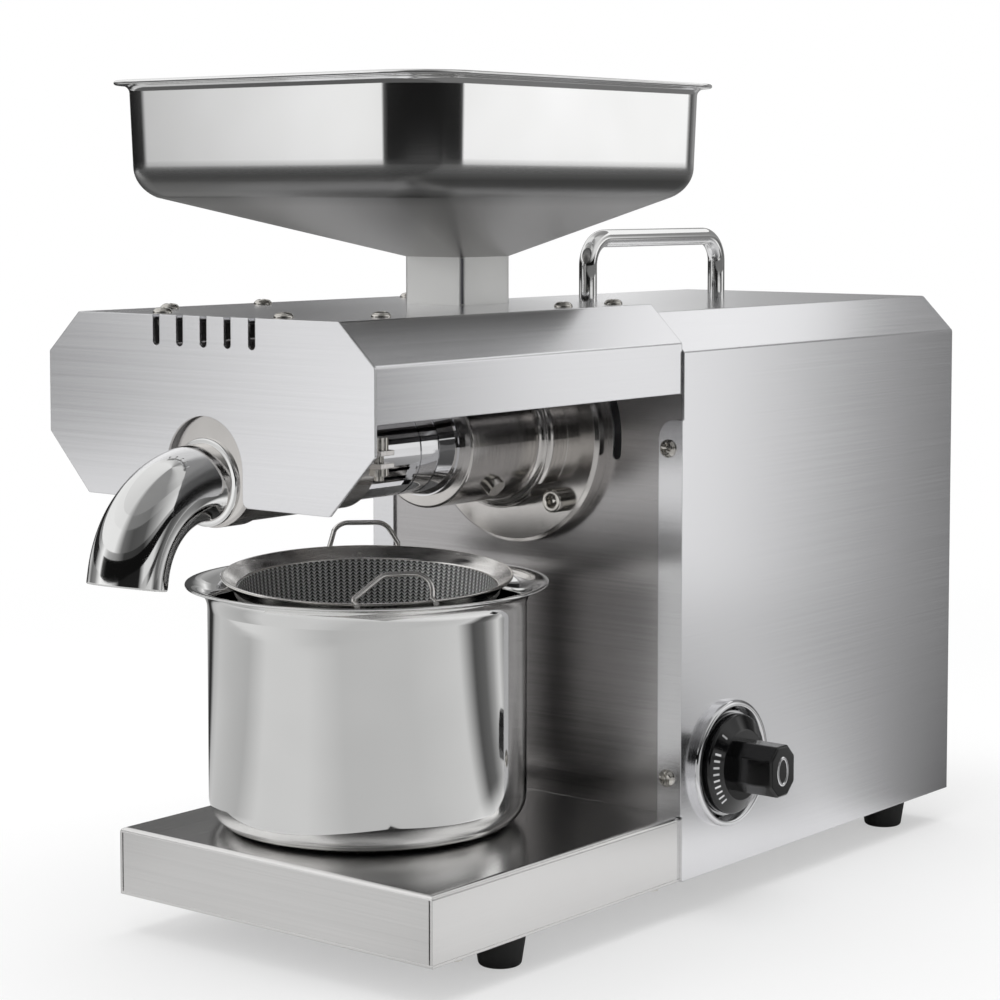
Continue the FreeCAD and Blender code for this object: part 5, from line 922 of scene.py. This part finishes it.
def dial_marks():
    """Twelve small bright bars on the cone of the dial, on the side that faces the front."""
    parts = []
    rise, run = SKIRT_TOP - SKIRT_EDGE, SKIRT_RADIUS - SKIRT_TOP_RADIUS
    slope = Vector((rise, -run)).normalized()
    for k in range(MARKS):
        angle = math.radians(FIRST_MARK + MARK_STEP * k)
        out = Vector((0, math.sin(angle), math.cos(angle)))
        side = Vector((0, math.cos(angle), -math.sin(angle)))
        corners = []
        for along in MARK_ENDS:
            foot = Vector((SKIRT_EDGE + slope.x * along, *DIAL_PLACE))
            centre = foot + out * (SKIRT_RADIUS + slope.y * along)
            corners += [centre + side * wide for wide in (-MARK_HALF, MARK_HALF)]
        lift = (Vector((1, 0, 0)) * run + out * rise).normalized() * MARK_HEIGHT
        points = [tuple(c) for c in corners] + [tuple(c + lift) for c in corners]
        parts.append((points, [(4, 5, 7, 6), (0, 1, 5, 4), (1, 3, 7, 5), (3, 2, 6, 7), (2, 0, 4, 6)]))
    return joined(*parts)


piece("knob_bezel_ring", bezel(), "bright_chrome", "frame", ["knob_bezel"], sharp=40.0)
piece("dial_body", joined(dial_skirt(), dial_grip()), "black_phenolic", "dial", ["dial_knob"], sharp=40.0)
piece("dial_end_ring", oval_ring(), "bright_chrome", "dial")
piece("dial_marks", dial_marks(), "bright_chrome", "dial")


# Carry handle and feet

HANDLE_LEGS, HANDLE_TOP = (15.0, 116.0), 282.0
HANDLE_BEND, HANDLE_ROD = 12.0, 4.0
FEET_SIDE, FEET_FRONT, FEET_BACK = 65.0, -128.0, 165.0
FOOT_HEIGHT, FOOT_POCKET = 16.0, 7.0


def carry_handle():
    """A round rod bent into a bow over the housing."""
    near, far = HANDLE_LEGS
    corners = [Vector((0, y, z)) for y, z in (
        (near, HOUSING_TOP), (near, HANDLE_TOP), (far, HANDLE_TOP), (far, HOUSING_TOP))]
    return tube(bent_path(corners, HANDLE_BEND, 20), HANDLE_ROD, 48)


def feet():
    """Four conical feet, each with the pocket of its screw."""
    outline = rounded([
        (3.9, 0), (8.5, 0), (11.0, FOOT_HEIGHT), (2.1, FOOT_HEIGHT), (2.1, FOOT_POCKET), (3.9, FOOT_POCKET),
    ], [0.3, 1.5, 0.5, 0, 0, 0], 15.0)
    places = [(x, y, 0) for x in (-FEET_SIDE, FEET_SIDE) for y in (FEET_FRONT, FEET_BACK)]
    return joined(*(turned(outline, "Z", place, 60) for place in places))


piece("carry_handle_tube", carry_handle(), "polished_stainless", "frame", ["carry_handle"])
piece("rubber_feet_moulded", feet(), "black_rubber", "frame", ["rubber_feet"])


# Camera, lamps and floor

def photo_camera():
    """The place and direction that the photograph was taken from, in metres and degrees."""
    made = bpy.data.cameras.new("camera")
    made.sensor_width = 36.0
    made.lens = 93.85
    made.shift_y = -0.120
    made.clip_start, made.clip_end = 0.05, 50.0
    camera = bpy.data.objects.new("camera", made)
    bpy.context.scene.collection.objects.link(camera)
    camera.location = (0.6965, -0.9114, 0.3024)
    turn, down = math.radians(38.87), math.radians(4.11)
    ahead = Vector((-math.sin(turn) * math.cos(down), math.cos(turn) * math.cos(down), -math.sin(down)))
    camera.rotation_euler = ahead.to_track_quat("-Z", "Y").to_euler()
    bpy.context.scene.camera = camera


def lamp(name, place, towards, size, power):
    """A soft rectangular lamp, in metres and watts."""
    made = bpy.data.lights.new(name, "AREA")
    made.shape = "RECTANGLE"
    made.size, made.size_y = size
    made.energy = power
    thing = bpy.data.objects.new(name, made)
    bpy.context.scene.collection.objects.link(thing)
    thing.location = place
    thing.rotation_euler = (Vector(towards) - Vector(place)).to_track_quat("-Z", "Y").to_euler()


def white_room(level):
    """Even light all round; what the camera and shiny surfaces see of it is white."""
    world = bpy.data.worlds.new("white room")
    bpy.context.scene.world = world
    world.use_nodes = True
    tree = world.node_tree
    tree.nodes.clear()
    path = add(tree, "LightPath")
    seen = add(tree, "Math", {"operation": "MAXIMUM"}, {
        0: path.outputs["Is Camera Ray"], 1: path.outputs["Is Glossy Ray"],
    })
    seen = add(tree, "Math", {"operation": "MAXIMUM"}, {
        0: seen.outputs[0], 1: path.outputs["Is Transmission Ray"],
    })
    strength = add(tree, "MapRange", {}, {"Value": seen.outputs[0], "To Min": level, "To Max": 1.0})
    light = add(tree, "Background", {}, {"Color": (1, 1, 1, 1), "Strength": strength.outputs["Result"]})
    add(tree, "OutputWorld", {}, {"Surface": light.outputs[0]})


def azimuth_turns(tree):
    """How far round the press a place lies, as 0..1 with 0.5 straight in front of it."""
    place = add(tree, "TexCoord").outputs["Object"]
    place = add(tree, "SeparateXYZ", {}, {"Vector": place})
    back = add(tree, "Math", {"operation": "MULTIPLY"}, {0: place.outputs["Y"], 1: -1.0}).outputs[0]
    angle = add(tree, "Math", {"operation": "ARCTAN2"}, {0: place.outputs["X"], 1: back}).outputs[0]
    return add(tree, "Math", {"operation": "MULTIPLY_ADD"}, {0: angle, 1: 0.5 / math.pi, 2: 0.5}).outputs[0]


def tones_round(tree, tones):
    """Greys round the press, given as (degrees from the front towards +X, colour code)."""
    ramp = add(tree, "ValToRGB", {}, {"Fac": azimuth_turns(tree)})
    elements = ramp.color_ramp.elements
    for i, (degrees, code) in enumerate(tones):
        made = elements[i] if i < 2 else elements.new(1.0)
        made.position = (degrees + 180) / 360
        made.color = colour(code)
    return ramp.outputs["Color"]


def paper(name, tones, one_sided=False):
    """Paper of plain light, in one colour or in greys round the press; one-sided, only its front shows."""
    finish, tree = new_material(name + " paper")
    tone = tones_round(tree, tones) if isinstance(tones, list) else tones
    shown = add(tree, "Emission", {}, {"Color": tone, "Strength": 1.0}).outputs[0]
    if one_sided:
        below = add(tree, "NewGeometry").outputs["Backfacing"]
        clear = add(tree, "BsdfTransparent").outputs[0]
        shown = add(tree, "MixShader", {}, {0: below, 1: shown, 2: clear}).outputs[0]
    add(tree, "OutputMaterial", {}, {"Surface": shown})
    finish.cycles.emission_sampling = "NONE"
    return finish


def staged(name, points, faces, finish):
    """A sheet of the studio, in metres, which isn't part of the press."""
    mesh = bpy.data.meshes.new(name)
    mesh.from_pydata(points, [], faces)
    mesh.materials.append(finish)
    thing = bpy.data.objects.new(name, mesh)
    bpy.context.scene.collection.objects.link(thing)
    return thing


def only_in_shine(name, points, faces, finish):
    """Puts up a sheet that only shiny surfaces see."""
    thing = staged(name, points, faces, finish)
    thing.visible_camera = False
    thing.visible_diffuse = False
    thing.visible_shadow = False


def screen(name, low, high, tones):
    """A round screen of greys, as a studio sets round bright metal."""
    rings = [[(SCREEN_R * math.sin(angle), SCREEN_R * math.cos(angle), z) for angle in all_round(96)]
             for z in (low, high)]
    only_in_shine(name, *skin(rings), paper(name, tones))


def card(name, x0, x1, y0, y1, z, tones):
    """A level card, seen only from the side that its corners go round anticlockwise."""
    points = [(x0, y0, z), (x1, y0, z), (x1, y1, z), (x0, y1, z)]
    only_in_shine(name, points, [(0, 1, 2, 3)], paper(name, tones, True))


def floor():
    """A pale floor that keeps a faint shadow near the press and runs out to white further off.

    Shiny surfaces see it as greys round the press, from just outside its feet.
    """
    finish, tree = new_material("pale floor")
    pale = add(tree, "BsdfDiffuse", {}, {"Color": colour("#f4f4f4")})
    white = add(tree, "Emission", {}, {"Color": (1, 1, 1, 1), "Strength": 1.0})
    greys = add(tree, "Emission", {}, {"Color": tones_round(tree, FLOOR_TONES), "Strength": 1.0})
    place = add(tree, "TexCoord").outputs["Object"]
    far = add(tree, "VectorMath", {"operation": "LENGTH"}, {0: place}).outputs["Value"]
    fade = add(tree, "MapRange", {"interpolation_type": "SMOOTHSTEP"}, {
        "Value": far, "From Min": SHADOW_FADES[0], "From Max": SHADOW_FADES[1], "To Min": 0.45, "To Max": 1.0,
    }).outputs["Result"]
    near = add(tree, "MapRange", {"interpolation_type": "SMOOTHSTEP"}, {
        "Value": far, "From Min": GREYS_BEGIN[0], "From Max": GREYS_BEGIN[1],
    }).outputs["Result"]
    path = add(tree, "LightPath")
    share = add(tree, "Math", {"operation": "MULTIPLY"}, {0: fade, 1: path.outputs["Is Camera Ray"]}).outputs[0]
    shiny = add(tree, "Math", {"operation": "MULTIPLY"}, {0: near, 1: path.outputs["Is Glossy Ray"]}).outputs[0]
    seen = add(tree, "MixShader", {}, {0: share, 1: pale.outputs[0], 2: white.outputs[0]})
    shown = add(tree, "MixShader", {}, {0: shiny, 1: seen.outputs[0], 2: greys.outputs[0]})
    add(tree, "OutputMaterial", {}, {"Surface": shown.outputs[0]})
    points = [(x * FLOOR_HALF, y * FLOOR_HALF, 0) for x, y in ((-1, -1), (1, -1), (1, 1), (-1, 1))]
    staged("floor", points, [(0, 1, 2, 3)], finish)


# Places of the studio, in metres
FLOOR_HALF = 20.0
SHADOW_FADES = (0.28, 1.0)
GREYS_BEGIN = (0.17, 0.26)
SCREEN_R = 0.9
SCREEN_TOP = 1.6
CARD_HEIGHT, CARD_OUT, HEAD_FRONT = 0.262, 0.8, -0.225

# The greys that bright metal mirrors, from the floor up: (degrees from the front towards +X, tone)
RIGHT_REAR = [(122, "#707070"), (132, "#f0f0f0"), (140, "#ffffff"), (149, "#909090"), (157, "#484848")]
FLOOR_TONES = [
    (-180, "#969696"), (-150, "#707070"), (-125, "#909090"), (-106, "#909090"), (-101, "#303030"),
    (-93, "#303030"), (-86, "#b8b8b8"), (-76, "#c8c8c8"), (-42, "#b4b4b4"), (-28, "#d4d4d4"),
    (0, "#d0d0d0"), (20, "#bcbcbc"), (60, "#c0c0c0"), (98, "#d0d0d0"), (112, "#505050"),
    (123, "#646464"), (132, "#a0a0a0"), (140, "#d8d8d8"), (149, "#909090"), (157, "#484848"),
    (166, "#606060"), (180, "#969696"),
]
POT_TONES = [
    (-180, "#b0b0b0"), (-125, "#b0b0b0"), (-106, "#a8a8a8"), (-101, "#303030"), (-93, "#282828"),
    (-86, "#b8b8b8"), (-76, "#d4d4d4"), (-42, "#e0e0e0"), (-11, "#d0d0d0"), (14, "#b8b8b8"),
    (40, "#bcbcbc"), (67, "#c0c0c0"), (100, "#d8d8d8"), (112, "#606060"), *RIGHT_REAR, (180, "#a0a0a0"),
]
LOW_TONES = [
    (-180, "#b0b0b0"), (-140, "#303030"), (-88, "#282828"), (-66, "#f4f4f4"), (-5, "#f0f0f0"),
    (14, "#d8d8d8"), (26, "#1c1c1c"), (40, "#181818"), (43, "#c0c0c0"), (46, "#181818"),
    (58, "#202020"), (68, "#b0b0b0"), (82, "#c0c0c0"), (92, "#303030"), (106, "#343434"),
    *RIGHT_REAR, (180, "#b0b0b0"),
]
MIDDLE_TONES = [
    (-180, "#909090"), (-158, "#909090"), (-152, "#b0b0b0"), (-145, "#f0f0f0"), (-136, "#c0c0c0"),
    (-129, "#808080"), (-118, "#303030"), (-100, "#303030"), (-80, "#d0d0d0"), (-62, "#686868"),
    (-42, "#909090"), (-33, "#dcdcdc"), (-26, "#ffffff"), (0, "#fafafa"), (16, "#202020"),
    (60, "#202020"), (72, "#e0e0e0"), (92, "#e0e0e0"), (108, "#505050"), *RIGHT_REAR,
    (168, "#606060"), (180, "#909090"),
]
HIGH_TONES = [
    (-180, "#909090"), (-158, "#909090"), (-152, "#b0b0b0"), (-145, "#f4f4f4"), (-137, "#b0b0b0"),
    (-129, "#505050"), (-100, "#1c1c1c"), (-51, "#282828"), (-46, "#8a8a8a"), (-42, "#b6b6b6"),
    (-30, "#fafafa"), (-25, "#505050"), (-16, "#121212"), (60, "#101010"), (110, "#141414"),
    (120, "#404040"), (127, "#f8f8f8"), (141, "#ffffff"), (148, "#a0a0a0"), (156, "#404040"),
    (180, "#909090"),
]
UPPER_TONES = [
    (-180, "#909090"), (-158, "#909090"), (-145, "#d8d8d8"), (-129, "#8c8c8c"), (-100, "#7c7c7c"),
    (-56, "#8c8c8c"), (-42, "#c0c0c0"), (-30, "#fafafa"), (-16, "#b0b0b0"), (4, "#8c8c8c"),
    (20, "#3c3c3c"), (60, "#343434"), (84, "#909090"), (110, "#b0b0b0"), (127, "#f0f0f0"),
    (141, "#ffffff"), (150, "#a0a0a0"), (180, "#909090"),
]
TOP_TONES = [
    (-180, "#8c8c8c"), (-150, "#8c8c8c"), (-130, "#b0b0b0"), (-100, "#f0f0f0"), (-5, "#f0f0f0"),
    (12, "#707070"), (30, "#505050"), (56, "#585858"), (75, "#a0a0a0"), (95, "#e0e0e0"),
    (120, "#e0e0e0"), (150, "#8c8c8c"), (180, "#8c8c8c"),
]
CHAMFER_TONES = [
    (-180, "#ffffff"), (-100, "#f0f0f0"), (-5, "#e8e8e8"), (12, "#808080"), (56, "#747474"),
    (75, "#a8a8a8"), (95, "#d8d8d8"), (120, "#e0e0e0"), (150, "#ffffff"), (180, "#ffffff"),
]
CEILING_TONES = [
    (-180, "#8c8c8c"), (-130, "#b0b0b0"), (-100, "#e8e8e8"), (-5, "#d8d8d8"), (12, "#8c8c8c"),
    (75, "#8c8c8c"), (95, "#c8c8c8"), (120, "#d0d0d0"), (150, "#8c8c8c"), (180, "#8c8c8c"),
]

photo_camera()
white_room(0.55)
lamp("overhead softbox", (0.1, -0.1, 1.9), (0, -0.05, 0.1), (1.8, 1.8), 26.0)
lamp("left softbox", (-1.5, -1.2, 1.0), (0, -0.05, 0.15), (1.0, 1.2), 10.0)
floor()
screen("pot screen", 0.0, 0.08, POT_TONES)
screen("low screen", 0.08, 0.13, LOW_TONES)
screen("middle screen", 0.13, 0.235, MIDDLE_TONES)
screen("high screen", 0.235, 0.37, HIGH_TONES)
screen("upper screen", 0.37, 0.44, UPPER_TONES)
screen("top screen", 0.44, 0.72, TOP_TONES)
screen("chamfer screen", 0.72, 1.0, CHAMFER_TONES)
screen("ceiling screen", 1.0, SCREEN_TOP, CEILING_TONES)
card("ceiling card", SCREEN_R, -SCREEN_R, -SCREEN_R, SCREEN_R, SCREEN_TOP, CEILING_TONES)
card("front card", -0.6, CARD_OUT, -0.85, HEAD_FRONT, CARD_HEIGHT, colour("#5a5a5a"))
card("side card", 0.0905, CARD_OUT, HEAD_FRONT, CARD_OUT, CARD_HEIGHT, colour("#727272"))
bpy.context.scene.view_settings.view_transform = "Standard"
